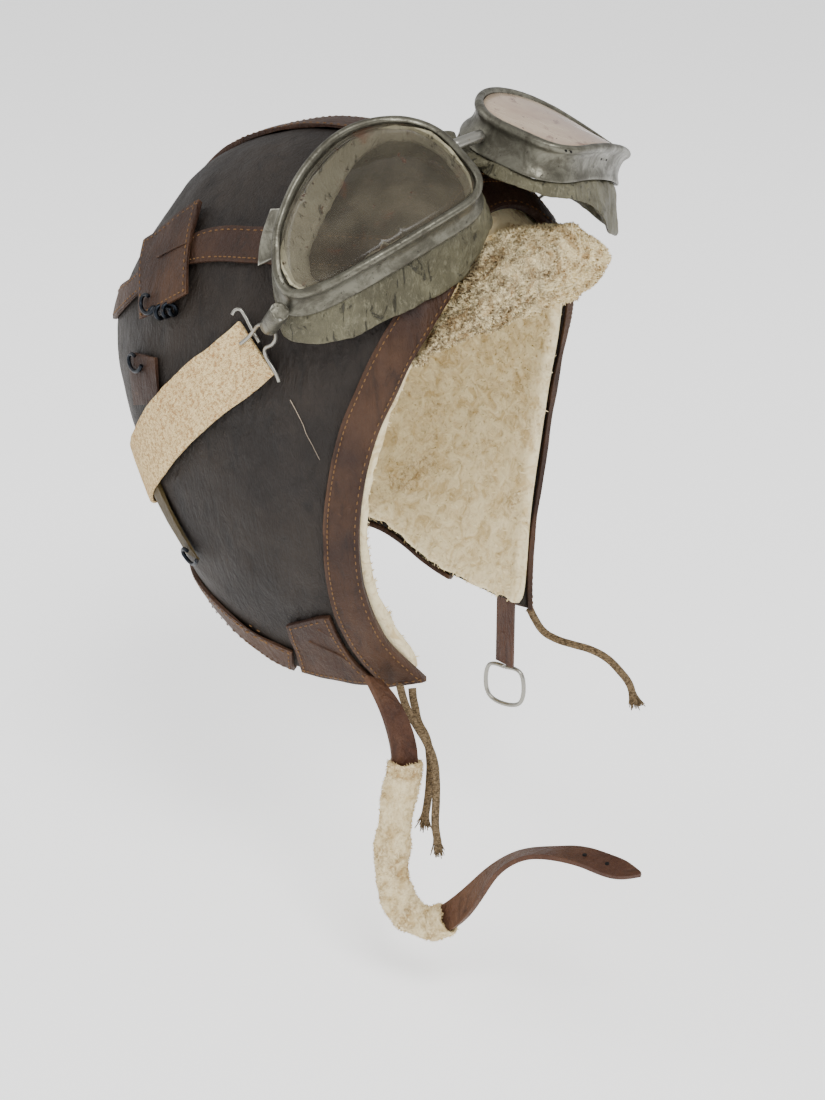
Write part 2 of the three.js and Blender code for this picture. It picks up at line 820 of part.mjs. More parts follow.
// Corner patch on the lower front corner, beside the binding
function cornerPatch(side) {
  const rise = PATCH_HIGH;
  const place = (u, v) => {
    const y0 = -FRONT * 0.5;
    const low = hemZ(y0);
    const z = mix(low + rise, low + GAP, u);
    const round = 1 - Math.sqrt(1 - (1 - clamp(u / 0.35, 0, 1)) ** 2);
    const slope = (edgeAhead(z + 1, 0) - edgeAhead(z - 1, 0)) / 2;
    const front = edgeAhead(z, 0) + (BINDING + EASE + 3 * GAP) * Math.hypot(1, slope);
    const back = Math.max(y0 + PATCH_LONG - (PATCH_LONG - BINDING) * round, front + BINDING * 0.4);
    const y = mix(front, back, v);
    const floor = hemZ(y) + GAP;
    return sidePlace(y, Math.max(mix(z, mix(hemZ(y) + rise, floor, u), v), floor), side);
  };
  return layer(4, 4, place, SEAT + GAP, SEAT + GAP + TRIM);
}

// Binding of the hem, from one corner patch round the nape to the other
function hemBinding() {
  const y = -FRONT * 0.5 + PATCH_LONG + EASE + 2 * TRIM + GAP;
  const start = sidePlace(y, hemZ(y), 1).turn;
  const count = 27;
  const places = Array.from({ length: count + 1 }, (_, i) => {
    const turn = mix(start, TURN - start, i / count);
    return { turn, row: hemRow(turn) };
  });
  const points = places.map(({ turn, row }) => surface(turn, row));
  const rings = places.map(({ turn, row }, i) => {
    const along = points[Math.min(count, i + 1)].clone().sub(points[Math.max(0, i - 1)]);
    const normal = normalAt(turn, row);
    const inward = normal.clone().cross(along).normalize();
    if (inward.z < 0) {
      inward.negate();
    }
    return foldedRing(points[i], normal, inward, HEM_BINDING);
  });
  return loft(rings, foldedSection(HEM_BINDING));
}

// Strap keepers: a four-cornered tab on the side, drawn through its corners
function tab(corners, side, low) {
  const place = (u, v) => {
    const [a, b, c, d] = corners;
    const y = mix(mix(a[0], b[0], v), mix(d[0], c[0], v), u);
    const z = mix(mix(a[1], b[1], v), mix(d[1], c[1], v), u);
    return sidePlace(y, z, side);
  };
  return layer(3, 3, place, low, low + TRIM);
}

const OVER_BAND = SEAT + TRIM + 2 * GAP;
const UPPER_TAB_AT = [29, -18];
const LOWER_TAB_AT = [38, -76];
const NAPE_AT = [60, -118];
const NAPE_DROP = 44;
const UPPER_HOOK_AT = [UPPER_TAB_AT[0] + 6, UPPER_TAB_AT[1] - TAB_HIGH * 1.3];
const LOWER_HOOK_AT = [LOWER_TAB_AT[0] + 7, LOWER_TAB_AT[1] - 6];
const CROWN_HOOK_AT = [84, -20];
const NAPE_HOOK_AT = [NAPE_AT[0] - NAPE_DROP * 0.85, NAPE_AT[1] - NAPE_DROP * 0.98];

function upperTabCorners() {
  const [y, z] = UPPER_TAB_AT;
  return [
    [y + TAB_LONG * 0.84, z - TAB_HIGH * 0.66],
    [y, z],
    [y - TAB_LONG * 0.25, z - TAB_HIGH],
    [y + TAB_LONG * 0.5, z - TAB_HIGH * 1.5],
  ];
}

function lowerTabCorners() {
  const [y, z] = LOWER_TAB_AT;
  return [
    [y + LOWER_TAB * 0.75, z - LOWER_TAB * 0.1],
    [y, z],
    [y - LOWER_TAB * 0.08, z - LOWER_TAB * 0.7],
    [y + LOWER_TAB * 0.7, z - LOWER_TAB * 0.95],
  ];
}

function napeStrap(side) {
  const [y, z] = NAPE_AT;
  const place = (u, v) => {
    const across = (v - 0.5) * NAPE_STRAP;
    return sidePlace(y - NAPE_DROP * 0.7 * u + across, z - NAPE_DROP * u, side);
  };
  return layer(6, 1, place, SEAT, SEAT + TRIM);
}

// A bent hook of round wire lying on the side, its bends given as shares of HOOK_LONG
const HOOK_SHAPE = [
  [0, 0.1], [0.16, -0.12], [0.42, -0.2], [0.68, -0.12], [0.8, 0.12], [0.64, 0.32], [0.4, 0.3],
];

function hook([y, z], side, lift) {
  const route = HOOK_SHAPE.map(([across, up]) => (
    onSide(y + across * HOOK_LONG, z + up * HOOK_LONG, side, lift + HOOK_WIRE / 2).toArray()
  ));
  return tube(route, HOOK_WIRE, 5, 7);
}

// Wire end that stands up behind the crown
function crownHook() {
  const low = SEAT + TRIM + GAP + HOOK_WIRE / 2;
  const lifts = [low, low, low + HOOK_WIRE, low + 2 * HOOK_WIRE];
  const route = lifts.map((lift, i) => {
    const ahead = CROWN_HOOK_AT[0] + (i * HOOK_LONG) / 4;
    return snap(vec(0, ahead, CROWN_HOOK_AT[1]), lift);
  });
  return tube(route.map((p) => p.toArray()), HOOK_WIRE, 5, 6);
}

// Goggles
function lensPlace(middle, facing, nose, hand) {
  const n = new THREE.Vector3(...facing).normalize();
  const a = new THREE.Vector3(...nose);
  a.addScaledVector(n, -a.dot(n)).normalize();
  const b = n.clone().cross(a).multiplyScalar(hand);
  return { middle: new THREE.Vector3(...middle), n, a, b };
}

const OUTLINE = new THREE.CatmullRomCurve3(
  LENS_OUTLINE.map(([along, across]) => vec(along * LENS_LONG, across * LENS_HIGH, 0)),
  true,
  'centripetal',
);
const STATIONS = 28;

// A point beside the outline: out from the glass and deep toward the head
function cupPoint(place, share, out, deep) {
  const p = OUTLINE.getPointAt(share % 1);
  const along = OUTLINE.getTangentAt(share % 1);
  const x = p.x - along.y * out;
  const y = p.y + along.x * out;
  const sag = LENS_BEND * x * x;
  return place.middle.clone()
    .addScaledVector(place.a, x)
    .addScaledVector(place.b, y)
    .addScaledVector(place.n, -sag - deep);
}

// Section of the metal cup: out from the glass, deep toward the head
const CUP_SECTION = [
  [-CUP_WALL, -1],
  [RIM * 0.3, -RIM * 0.8],
  [RIM, -RIM * 0.3],
  [RIM * 0.8, RIM * 0.6],
  [0, RIM * 1.25],
  [0.2, CUP_DEEP * 0.7],
  [RIM * 1.2, CUP_DEEP - 1.2],
  [RIM * 1.2, CUP_DEEP],
  [-CUP_WALL / 2, CUP_DEEP],
  [-CUP_WALL, LENS_THICK + 2.2],
  [-CUP_WALL - 1.6, LENS_THICK + GAP],
  [-CUP_WALL, LENS_THICK + GAP],
];

function eyecup(place) {
  const rings = Array.from({ length: STATIONS }, (_, i) => (
    CUP_SECTION.map(([out, deep]) => cupPoint(place, i / STATIONS, out, deep))
  ));
  return loft(rings, null);
}

function lens(place) {
  const at = (deep) => grid(2, STATIONS, (u, v) => {
    const edge = OUTLINE.getPointAt(v % 1);
    const along = OUTLINE.getTangentAt(v % 1);
    const inset = CUP_WALL + GAP;
    const x = (edge.x + along.y * inset) * u;
    const y = (edge.y - along.x * inset) * u;
    return place.middle.clone()
      .addScaledVector(place.a, x)
      .addScaledVector(place.b, y)
      .addScaledVector(place.n, -LENS_BEND * x * x - deep);
  });
  return slab(at(0), at(LENS_THICK));
}

// How far a cushion wall can run before it meets what lies under it
const CUSHION_CLEAR = SEAT + TRIM + GAP;

function clearance(point) {
  const place = settle(point);
  const spot = surface(place.turn, place.row);
  const proud = openFace(spot, LINING_SHOW) ? BROW_SWELL * 0.56 : CUSHION_CLEAR;
  return place.height - proud;
}

function cushionWall(place, round, share, out) {
  const long = CUSHION_LONG * curveAt(round, 'at', 'long', share);
  const flare = CUSHION_FLARE * curveAt(round, 'at', 'flare', share);
  const at = (t) => cupPoint(place, share, out + flare * t ** 1.3, CUP_DEEP + GAP + long * t);
  if (clearance(at(1)) > 0) {
    return at;
  }
  let low = 0;
  let high = 1;
  for (let i = 0; i < 14; i += 1) {
    const t = (low + high) / 2;
    if (clearance(at(t)) > 0) {
      low = t;
    } else {
      high = t;
    }
  }
  return (t) => at(t * low);
}

// The cushions stand straight on the crown side and spread toward the face
// at runs round the outline from the temple, flare and long are shares of the cushion's sizes
const RIGHT_CUSHION = [
  { at: 0, flare: 0.5, long: 0.6 },
  { at: 0.04, flare: 0, long: 0.8 },
  { at: 0.4, flare: 0, long: 0.85 },
  { at: 0.47, flare: 0, long: 0.5 },
  { at: 0.53, flare: 0, long: 0.5 },
  { at: 0.6, flare: 0.4, long: 0.95 },
  { at: 0.68, flare: 1, long: 1.15 },
  { at: 0.8, flare: 1, long: 0.95 },
  { at: 0.92, flare: 0.9, long: 0.75 },
  { at: 1, flare: 0.5, long: 0.6 },
];
const LEFT_CUSHION = [
  { at: 0, flare: 0.8, long: 0.9 },
  { at: 0.04, flare: 0.2, long: 0.9 },
  { at: 0.4, flare: 0, long: 0.8 },
  { at: 0.47, flare: 0, long: 0.4 },
  { at: 0.6, flare: 0.1, long: 0.3 },
  { at: 0.68, flare: 0.4, long: 0.35 },
  { at: 0.77, flare: 0.9, long: 0.65 },
  { at: 0.83, flare: 1, long: 1.1 },
  { at: 0.93, flare: 0.9, long: 1.1 },
  { at: 1, flare: 0.8, long: 0.9 },
];

function cushion(place, round) {
  const rings = Array.from({ length: STATIONS }, (_, i) => {
    const share = i / STATIONS;
    const outer = cushionWall(place, round, share, RIM * 1.2);
    const inner = cushionWall(place, round, share, RIM * 1.2 - CUSHION_THICK);
    return [outer(0), outer(0.5), outer(1), inner(1), inner(0)];
  });
  return loft(rings, null);
}

// Nose piece of the cushion between the two cups
const NOSE_FROM = 0.42;
const NOSE_TO = 0.53;
const NOSE_THICK = 1.8;

function nosePiece() {
  const edge = (place, share) => cupPoint(place, share, RIM * 1.2 + EASE, CUP_DEEP);
  const front = RIGHT_LENS.n.clone().add(LEFT_LENS.n).normalize();
  const at = (deep) => grid(5, 3, (u, v) => {
    const share = mix(NOSE_FROM, NOSE_TO, u);
    const near = edge(RIGHT_LENS, share);
    const far = edge(LEFT_LENS, share);
    return near.lerp(far, v).addScaledVector(front, -deep);
  });
  return slab(at(0), at(NOSE_THICK));
}

// Bridge between the cups, at their nearest places
function nearestShares() {
  let best = { gap: Infinity };
  for (let i = 0; i < 90; i += 1) {
    for (let j = 0; j < 90; j += 1) {
      const p = cupPoint(RIGHT_LENS, i / 90, RIM, 0);
      const q = cupPoint(LEFT_LENS, j / 90, RIM, 0);
      const gap = p.distanceTo(q);
      if (gap < best.gap) {
        best = { gap, right: i / 90, left: j / 90 };
      }
    }
  }
  return best;
}

function bridge() {
  const { right, left } = nearestShares();
  const deep = CUP_DEEP * 0.5;
  const out = GAP + RIM * 0.5;
  const route = [
    cupPoint(RIGHT_LENS, right, out, deep).toArray(),
    cupPoint(LEFT_LENS, left, out, deep).toArray(),
  ];
  return tube(route, BRIDGE_TUBE, 12, 1);
}

// Hinge tube at the temple corner of each cup, which the buckle's wire passes
const RIGHT_TEMPLE = { place: RIGHT_LENS, share: 0, out: RIM - GAP + TEMPLE_TUBE / 2, deep: 1,
  way: vec(0.45, 0.68, -0.58) };
const LEFT_TEMPLE = { place: LEFT_LENS, share: 0.05, out: TEMPLE_TUBE / 2 + RIM * 0.6, deep: 7,
  way: vec(0.3, 0.8, -0.5) };

function templeRoute({ place, share, out, deep, way }) {
  const head = cupPoint(place, share, out, deep);
  const tail = head.clone().addScaledVector(way, TEMPLE_LONG / way.length());
  return [head, tail];
}

function templeTube(temple) {
  return tube(templeRoute(temple).map((p) => p.toArray()), TEMPLE_TUBE, 12, 1);
}

// Elastic strap
function elasticPlace(t) {
  const count = ELASTIC_ROUTE.length - 1;
  const table = ELASTIC_ROUTE.map((row, index) => ({ ...row, index }));
  const turn = curveAt(table, 'index', 'turn', t * count) * RAD;
  const level = curveAt(table, 'index', 'level', t * count);
  return { turn, row: rowAt(TOP - HEIGHT * level) };
}

const ELASTIC_LIFT = SEAT + TRIM + 2 * GAP;

function elasticAcross(t) {
  const step = 0.01;
  const a = elasticPlace(Math.max(0, t - step));
  const b = elasticPlace(Math.min(1, t + step));
  const along = surface(b.turn, b.row).sub(surface(a.turn, a.row));
  const here = elasticPlace(t);
  const across = along.cross(normalAt(here.turn, here.row)).normalize();
  return across.z < 0 ? across.negate() : across;
}

function elasticPoint(t, share, lift) {
  const here = elasticPlace(t);
  const across = elasticAcross(t);
  return snap(surface(here.turn, here.row).addScaledVector(across, share * ELASTIC), lift);
}

function elastic() {
  const at = (lift) => grid(32, 2, (u, v) => elasticPoint(u, v - 0.5, lift));
  return slab(at(ELASTIC_LIFT + ELASTIC_THICK), at(ELASTIC_LIFT));
}

// Wire buckles from the strap's ends to the hinge tubes
function leftBuckle() {
  const tail = templeRoute(LEFT_TEMPLE)[1];
  const end = 1;
  const lift = ELASTIC_LIFT + ELASTIC_THICK / 2;
  const near = (share) => elasticPoint(end, share, lift);
  const outward = (share, distance) => {
    const p = near(share);
    const q = elasticPoint(end - 0.01, share, lift);
    return p.addScaledVector(p.clone().sub(q).normalize(), distance);
  };
  const under = tail.clone().addScaledVector(LEFT_TEMPLE.way, GAP + BUCKLE_WIRE * 0.7);
  const aside = outward(0.2, 0).sub(outward(-0.2, 0)).setLength(BUCKLE_WIRE * 0.9);
  const clear = BUCKLE_WIRE / 2 + GAP;
  const route = [
    outward(0.52, clear),
    outward(0.2, clear),
    outward(-0.2, clear),
    outward(-0.48, clear),
    outward(-0.52, clear + 3.5),
    outward(-0.25, clear + 7),
    under.clone().sub(aside),
    under.clone().add(aside),
    outward(0.15, clear + 8),
    outward(0.4, clear + 5),
  ];
  return tube(route.map((p) => p.toArray()), BUCKLE_WIRE, 5, 20);
}

// Small tab of sheet metal behind the right rim
function rimTab() {
  const at = (lift) => grid(2, 3, (u, v) => {
    const base = cupPoint(RIGHT_LENS, mix(0.08, 0.165, v), GAP * 1.5 + 7 * u, 4.5 + 4 * u);
    return base.addScaledVector(RIGHT_LENS.n, lift);
  });
  return slab(at(0), at(-1));
}

// Chin strap
const VIEW = vec(0.769, 0.518, -0.375);

function strapFrame(table, root, hang, hand, share) {
  const rows = table.map((row, index) => ({ ...row, index }));
  const t = share * (table.length - 1);
  const read = (s) => vec(
    root[0] - hand * hang * curveAt(rows, 'index', 'out', s),
    root[1] - hang * curveAt(rows, 'index', 'ahead', s),
    root[2] - hang * curveAt(rows, 'index', 'down', s),
  );
  const along = read(Math.min(table.length - 1, t + 0.1)).sub(read(Math.max(0, t - 0.1))).normalize();
  const flat = VIEW.clone().cross(along).normalize();
  const deep = flat.clone().cross(along).normalize();
  const twist = curveAt(rows, 'index', 'twist', t) * RAD;
  const across = flat.multiplyScalar(Math.cos(twist)).addScaledVector(deep, Math.sin(twist));
  return { point: read(t), across, normal: across.clone().cross(along).normalize() };
}

function chinStrap() {
  const tip = 0.93;
  const at = (sign) => grid(STRAP_RUNS, 2, (u, v) => {
    const frame = strapFrame(STRAP_ROUTE, STRAP_ROOT, STRAP_HANG, 1, u);
    const round = u > tip ? Math.sqrt(1 - ((u - tip) / (1 - tip)) ** 2) : 1;
    const half = (v - 0.5) * STRAP * Math.max(round, 0.12);
    return frame.point
      .addScaledVector(frame.across, half)
      .addScaledVector(frame.normal, (sign * STRAP_THICK) / 2);
  });
  return slab(at(1), at(-1));
}

// Shearling sleeve round the strap, open at both ends
function sleeve() {
  const at = (wall) => grid(SLEEVE_TO - SLEEVE_FROM, 10, (u, v) => {
    const share = mix(SLEEVE_FROM, SLEEVE_TO, u) / STRAP_RUNS;
    const frame = strapFrame(STRAP_ROUTE, STRAP_ROOT, STRAP_HANG, 1, share);
    const turn = (v + 0.05) * TURN;
    const wide = STRAP / 2 + 2 * GAP + wall;
    const deep = STRAP_THICK / 2 + 2.6 + wall * 1.5;
    return frame.point
      .addScaledVector(frame.across, wide * Math.cos(turn))
      .addScaledVector(frame.normal, deep * Math.sin(turn));
  });
  return slab(at(SLEEVE_WALL), at(0));
}

// Short buckle end of the chin strap on the left, hanging from its corner
function leftStrap() {
  const y = -FRONT * 0.42;
  const top = hemZ(y);
  const lift = SEAT + 3 * GAP + TRIM;
  const root = onSide(y, top + 12, -1, lift);
  const edge = onSide(y, top, -1, lift);
  const at = (extra) => grid(8, 2, (u, v) => {
    const across = (v - 0.5) * STRAP;
    if (u < 0.5) {
      return onSide(y + across, mix(top + 12, top, u * 2), -1, lift + extra);
    }
    const p = edge.clone();
    p.y = onSide(y + across, top, -1, lift).y;
    p.x = onSide(y + across, top, -1, lift).x + extra;
    p.z = edge.z - (u - 0.5) * 2 * LEFT_STRAP;
    return p;
  });
  return { geometry: slab(at(STRAP_THICK), at(0)), root, edge };
}

function chinBuckle(edge) {
  const wire = BUCKLE_WIRE * 1.25;
  const z = edge.z - LEFT_STRAP - 2 * GAP - wire / 2;
  const x = edge.x + STRAP_THICK / 2;
  const half = CHIN_BUCKLE / 2;
  const route = [
    [x, edge.y - 0.3, z],
    [x, edge.y - half, z],
    [x, edge.y - half, z - CHIN_BUCKLE],
    [x, edge.y + half, z - CHIN_BUCKLE],
    [x, edge.y + half, z],
    [x, edge.y + 0.3, z],
  ];
  return tube(route, wire, 6, 16);
}

// Assembly
add('crown_right', crownPanel(1), FINISH.leather);
add('crown_left', crownPanel(-1), FINISH.leather);
add('side_right', sidePanel(1), FINISH.leather);
add('side_left', sidePanel(-1), FINISH.leather);
add('fleece_lining', lining(), FINISH.fleece);
add('fleece_brow', browRoll(), FINISH.fleece);
add('face_binding', faceBinding(), FINISH.brown);
add('hem_binding', hemBinding(), FINISH.brown);
add('seam_band', seamBand(), FINISH.brown);
add('top_strip', topStrip(), FINISH.brown);
[['right', 1], ['left', -1]].forEach(([name, side]) => {
  add(`corner_patch_${name}`, cornerPatch(side), FINISH.brown);
  add(`upper_tab_${name}`, tab(upperTabCorners(), side, OVER_BAND), FINISH.brown);
  add(`lower_tab_${name}`, tab(lowerTabCorners(), side, SEAT), FINISH.brown);
  add(`nape_strap_${name}`, napeStrap(side), FINISH.olive);
  add(`upper_hook_${name}`, hook(UPPER_HOOK_AT, side, OVER_BAND + TRIM + GAP), FINISH.dark_wire);
  add(`lower_hook_${name}`, hook(LOWER_HOOK_AT, side, SEAT + TRIM + GAP), FINISH.dark_wire);
  add(`nape_hook_${name}`, hook(NAPE_HOOK_AT, side, SEAT + TRIM + GAP), FINISH.dark_wire);
});

add('crown_hook', crownHook(), FINISH.wire);
add('eyecup_right', eyecup(RIGHT_LENS), FINISH.paint);
add('eyecup_left', eyecup(LEFT_LENS), FINISH.paint);
add('lens_right', lens(RIGHT_LENS), FINISH.glass);
add('lens_left', lens(LEFT_LENS), FINISH.glass);
add('cushion_right', cushion(RIGHT_LENS, RIGHT_CUSHION), FINISH.cushion);
add('cushion_left', cushion(LEFT_LENS, LEFT_CUSHION), FINISH.cushion);
add('cushion_nose', nosePiece(), FINISH.cushion);
add('bridge_tube', bridge(), FINISH.wire);
add('rim_tab', rimTab(), FINISH.paint);
add('temple_tube_right', templeTube(RIGHT_TEMPLE), FINISH.paint);
add('temple_tube_left', templeTube(LEFT_TEMPLE), FINISH.paint);
add('buckle_right', tube(BUCKLE_RIGHT, BUCKLE_WIRE, 5, 26), FINISH.wire);
add('buckle_bar_right', tube(BUCKLE_BAR_RIGHT, BUCKLE_WIRE, 5, 12), FINISH.wire);
add('buckle_left', leftBuckle(), FINISH.wire);
add('elastic_strap', elastic(), FINISH.elastic);

add('chin_strap', chinStrap(), FINISH.strap);
add('strap_sleeve', sleeve(), FINISH.fleece);
const left = leftStrap();
add('chin_strap_left', left.geometry, FINISH.strap);
add('chin_buckle', chinBuckle(left.edge), FINISH.wire);
add('lace_right_long', tube(LACE_RIGHT_LONG, LACE, 8, 12), FINISH.cord);
add('lace_right_short', tube(LACE_RIGHT_SHORT, LACE, 8, 11), FINISH.cord);
add('lace_left', tube(LACE_LEFT, LACE, 8, 12), FINISH.cord);

export default helmet;
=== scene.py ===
# Leather flying helmet with goggles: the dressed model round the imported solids
import math
import random

import bmesh
import bpy
from mathutils import Matrix, Vector, noise
from mathutils.bvhtree import BVHTree


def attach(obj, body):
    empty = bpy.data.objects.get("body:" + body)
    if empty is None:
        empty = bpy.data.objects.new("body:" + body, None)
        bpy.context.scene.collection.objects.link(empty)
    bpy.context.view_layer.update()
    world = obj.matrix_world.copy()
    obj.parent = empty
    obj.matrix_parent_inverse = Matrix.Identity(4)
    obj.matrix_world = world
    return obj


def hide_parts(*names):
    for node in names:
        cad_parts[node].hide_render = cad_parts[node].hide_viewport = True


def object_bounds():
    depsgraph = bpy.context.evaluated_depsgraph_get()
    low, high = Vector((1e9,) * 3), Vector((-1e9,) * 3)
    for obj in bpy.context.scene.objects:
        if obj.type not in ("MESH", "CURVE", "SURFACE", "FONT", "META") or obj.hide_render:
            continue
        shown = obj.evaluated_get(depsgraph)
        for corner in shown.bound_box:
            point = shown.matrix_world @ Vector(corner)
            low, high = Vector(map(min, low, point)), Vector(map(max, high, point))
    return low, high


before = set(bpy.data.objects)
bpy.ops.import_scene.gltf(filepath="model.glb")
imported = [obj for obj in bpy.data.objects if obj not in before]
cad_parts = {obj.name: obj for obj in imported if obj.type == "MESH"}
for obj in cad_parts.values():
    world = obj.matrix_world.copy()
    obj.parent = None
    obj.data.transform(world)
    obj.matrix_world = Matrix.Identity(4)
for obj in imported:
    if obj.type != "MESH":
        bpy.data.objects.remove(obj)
CAD_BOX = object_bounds()
MM = 0.001
random.seed(11)

# Camera at the photograph's angle, and the picture's size in pixels
EYE = Vector((-0.6795, -0.4884, 0.1602))
AHEAD = Vector((0.7687, 0.5184, -0.3746))
RIGHT = Vector((0.5592, -0.8290, 0.0))
UP = Vector((0.3106, 0.2095, 0.9272))
FOCAL_PIXELS = 2051.28
WIDE, HIGH = 825, 1100

# Small marks, as places across and down the picture in pixels
STRAP_HOLES_SEEN = [(584.5, 855), (607, 864)]
VENT_HOLES_SEEN = [(566, 151), (571, 152), (583, 155), (588, 156), (601, 159), (606, 160)]
SCRATCH_SEEN = [[(290, 400), (296, 411), (303, 425), (306, 434), (312, 445), (322, 465)]]
PATCH_FOLDS_SEEN = [[(318, 629), (345, 645), (368, 662)], [(309, 641), (340, 656), (366, 674)]]
TAB_FOLD_SEEN = [[(157, 257), (172, 249), (186, 243), (200, 238)]]
HOOK_COIL_SEEN = [(161, 314), (181, 309)]


def add_camera():
    data = bpy.data.cameras.new("camera")
    data.lens = 36 * FOCAL_PIXELS / HIGH
    data.clip_start = 0.01
    camera = bpy.data.objects.new("camera", data)
    turn = Matrix((RIGHT, UP, -AHEAD)).transposed().to_4x4()
    camera.matrix_world = Matrix.Translation(EYE) @ turn
    bpy.context.scene.collection.objects.link(camera)
    bpy.context.scene.camera = camera


add_camera()


# Shader maths
class Value:
    """A socket that takes part in sums as a number does."""

    def __init__(self, finish, socket):
        self.finish = finish
        self.socket = socket

    def maths(self, operation, first, second):
        return self.finish.node("ShaderNodeMath", {"operation": operation}, {0: first, 1: second})

    def __add__(self, other):
        return self.maths("ADD", self, other)

    def __radd__(self, other):
        return self.maths("ADD", other, self)

    def __sub__(self, other):
        return self.maths("SUBTRACT", self, other)

    def __rsub__(self, other):
        return self.maths("SUBTRACT", other, self)

    def __mul__(self, other):
        return self.maths("MULTIPLY", self, other)

    def __rmul__(self, other):
        return self.maths("MULTIPLY", other, self)


class Finish:
    """A material under construction."""

    def __init__(self, name):
        self.material = bpy.data.materials.new(name)
        self.material.use_nodes = True
        self.tree = self.material.node_tree
        self.tree.nodes.clear()
        self.place = self.node("ShaderNodeTexCoord", {}, {}, "Object")

    def node(self, kind, settings, inputs, output=0):
        made = self.tree.nodes.new(kind)
        for key, value in settings.items():
            if key == "stops":
                ramp = made.color_ramp
                while len(ramp.elements) < len(value):
                    ramp.elements.new(0.5)
                for element, (at, color) in zip(ramp.elements, value):
                    element.position = at
                    element.color = color
            else:
                setattr(made, key, value)
        for key, value in inputs.items():
            socket = made.inputs[key]
            if isinstance(value, Value):
                self.tree.links.new(value.socket, socket)
            else:
                socket.default_value = value
        return Value(self, made.outputs[output]) if made.outputs else None

    def noise(self, scale, detail=4, rough=0.55, distortion=0.0, stretch=None):
        place = self.place
        if stretch:
            place = self.node("ShaderNodeVectorMath", {"operation": "MULTIPLY"},
                              {0: self.place, 1: stretch})
        return self.node("ShaderNodeTexNoise", {}, {
            "Vector": place, "Scale": scale, "Detail": detail, "Roughness": rough,
            "Distortion": distortion})

    def ridge(self, low, high):
        """Grows from 0 to 1 along the outer edges of a piece, where it is rubbed; on the painted
        metal it also carries a painted highlight.
        """
        worn = self.node("ShaderNodeAttribute", {"attribute_name": "ridge"}, {}, "Fac")
        return self.step(worn + (self.noise(160, 5, 0.7) - 0.5) * 0.25, low, high)

    def step(self, value, low, high):
        return self.node("ShaderNodeMapRange", {"interpolation_type": "SMOOTHSTEP"},
                         {"Value": value, "From Min": low, "From Max": high})

    def blend(self, factor, first, second):
        return self.node("ShaderNodeMix", {"data_type": "RGBA"},
                         {0: factor, 6: first, 7: second}, 2)

    def bump(self, height, strength, distance):
        return self.node("ShaderNodeBump", {}, {
            "Height": height, "Strength": strength, "Distance": distance})

    def shade(self, inputs):
        shader = self.node("ShaderNodeBsdfPrincipled", {}, inputs)
        self.node("ShaderNodeOutputMaterial", {}, {"Surface": shader})
        return self.material


def tone(red, green, blue):
    """A colour as seen on a screen, 0 to 255, as a shader takes it."""
    return (*[((c / 255) + 0.055) ** 2.4 / 1.055 ** 2.4 if c > 10 else c / 3294
              for c in (red, green, blue)], 1.0)


RUST = tone(112, 66, 36)


def leather(name, base, worn, dark, gloss=0.5, crease=0.5, rubbed=0.6):
    f = Finish(name)
    patches = f.step(f.noise(26, 5, 0.6), 0.34, 0.68)
    grain = f.noise(620, 3, 0.6)
    folds = f.noise(150, 5, 0.62, 0.9, (1.0, 1.0, 0.3))
    wrinkles = f.noise(340, 4, 0.65, 1.2, (1.0, 1.0, 0.45))
    scuffs = f.step(f.noise(85, 9, 0.78, 1.5), 0.62, 0.72)
    color = f.blend(patches, base, f.blend(0.35, base, worn))
    # Painted shade: the colour goes toward the dark tone in the low valleys of the folds, which the
    # bump sinks.
    color = f.blend((1 - f.step(folds, 0.3, 0.5)) * 0.5, color, dark)
    color = f.blend(scuffs * 0.35, color, worn)
    color = f.blend(f.ridge(0.22, 0.6) * rubbed, color, worn)
    height = folds * 1.0 + wrinkles * 0.5 + grain * 0.15
    return f.shade({
        "Base Color": color, "Roughness": f.noise(90, 4) * 0.22 + (gloss - 0.08),
        "Specular IOR Level": 0.28, "Normal": f.bump(height, crease, 0.0032)})


def shearling(name, base, deep, stain, dirty, toward=None):
    f = Finish(name)
    curls = f.noise(420, 5, 0.68, 1.2)
    tufts = f.noise(150, 5, 0.62, 1.0)
    soil = f.noise(44, 7, 0.7, 0.7) + dirty * 0.12
    if toward:
        across = f.node("ShaderNodeVectorMath", {"operation": "DOT_PRODUCT"},
                        {0: f.place, 1: toward}, "Value")
        soil = soil + f.step(across, -0.03, 0.05) * 0.22 - 0.1
    dirt = f.step(soil, 0.5, 0.7)
    color = f.blend(f.step(tufts, 0.32, 0.58), deep, base)
    color = f.blend(dirt * f.step(curls, 0.62, 0.36) * 0.85, color, stain)
    return f.shade({
        "Base Color": color, "Roughness": 0.95, "Specular IOR Level": 0.12,
        "Normal": f.bump(curls + tufts * 1.5, 0.6, 0.0012)})


def painted_metal(name, base, pale, dark):
    f = Finish(name)
    chips = f.step(f.noise(300, 9, 0.75, 0.8), 0.6, 0.63)
    edge = f.ridge(0.16, 0.42)
    grime = f.step(f.noise(110, 9, 0.78, 0.6), 0.38, 0.62)
    specks = f.step(f.noise(400, 5, 0.7) + edge * 0.08, 0.62, 0.66)
    rust = f.step(f.noise(75, 6, 0.7, 1.0), 0.68, 0.76)
    color = f.blend(grime * 0.75, base, dark)
    # The rubbed edges go pale: partly paint worn to bare metal, partly a painted highlight on the
    # rim.
    color = f.blend(edge * 0.75, color, pale)
    color = f.blend(chips * (0.25 + edge * 0.5), color, dark)
    color = f.blend(rust * 0.8, color, RUST)
    color = f.blend(specks * 0.9, color, tone(44, 38, 32))
    return f.shade({
        "Base Color": color, "Metallic": edge * 0.2 + 0.7,
        "Roughness": 0.3 - edge * 0.08 + grime * 0.2,
        "Normal": f.bump(f.noise(380, 6) - specks * 0.6, 0.35, 0.0005)})


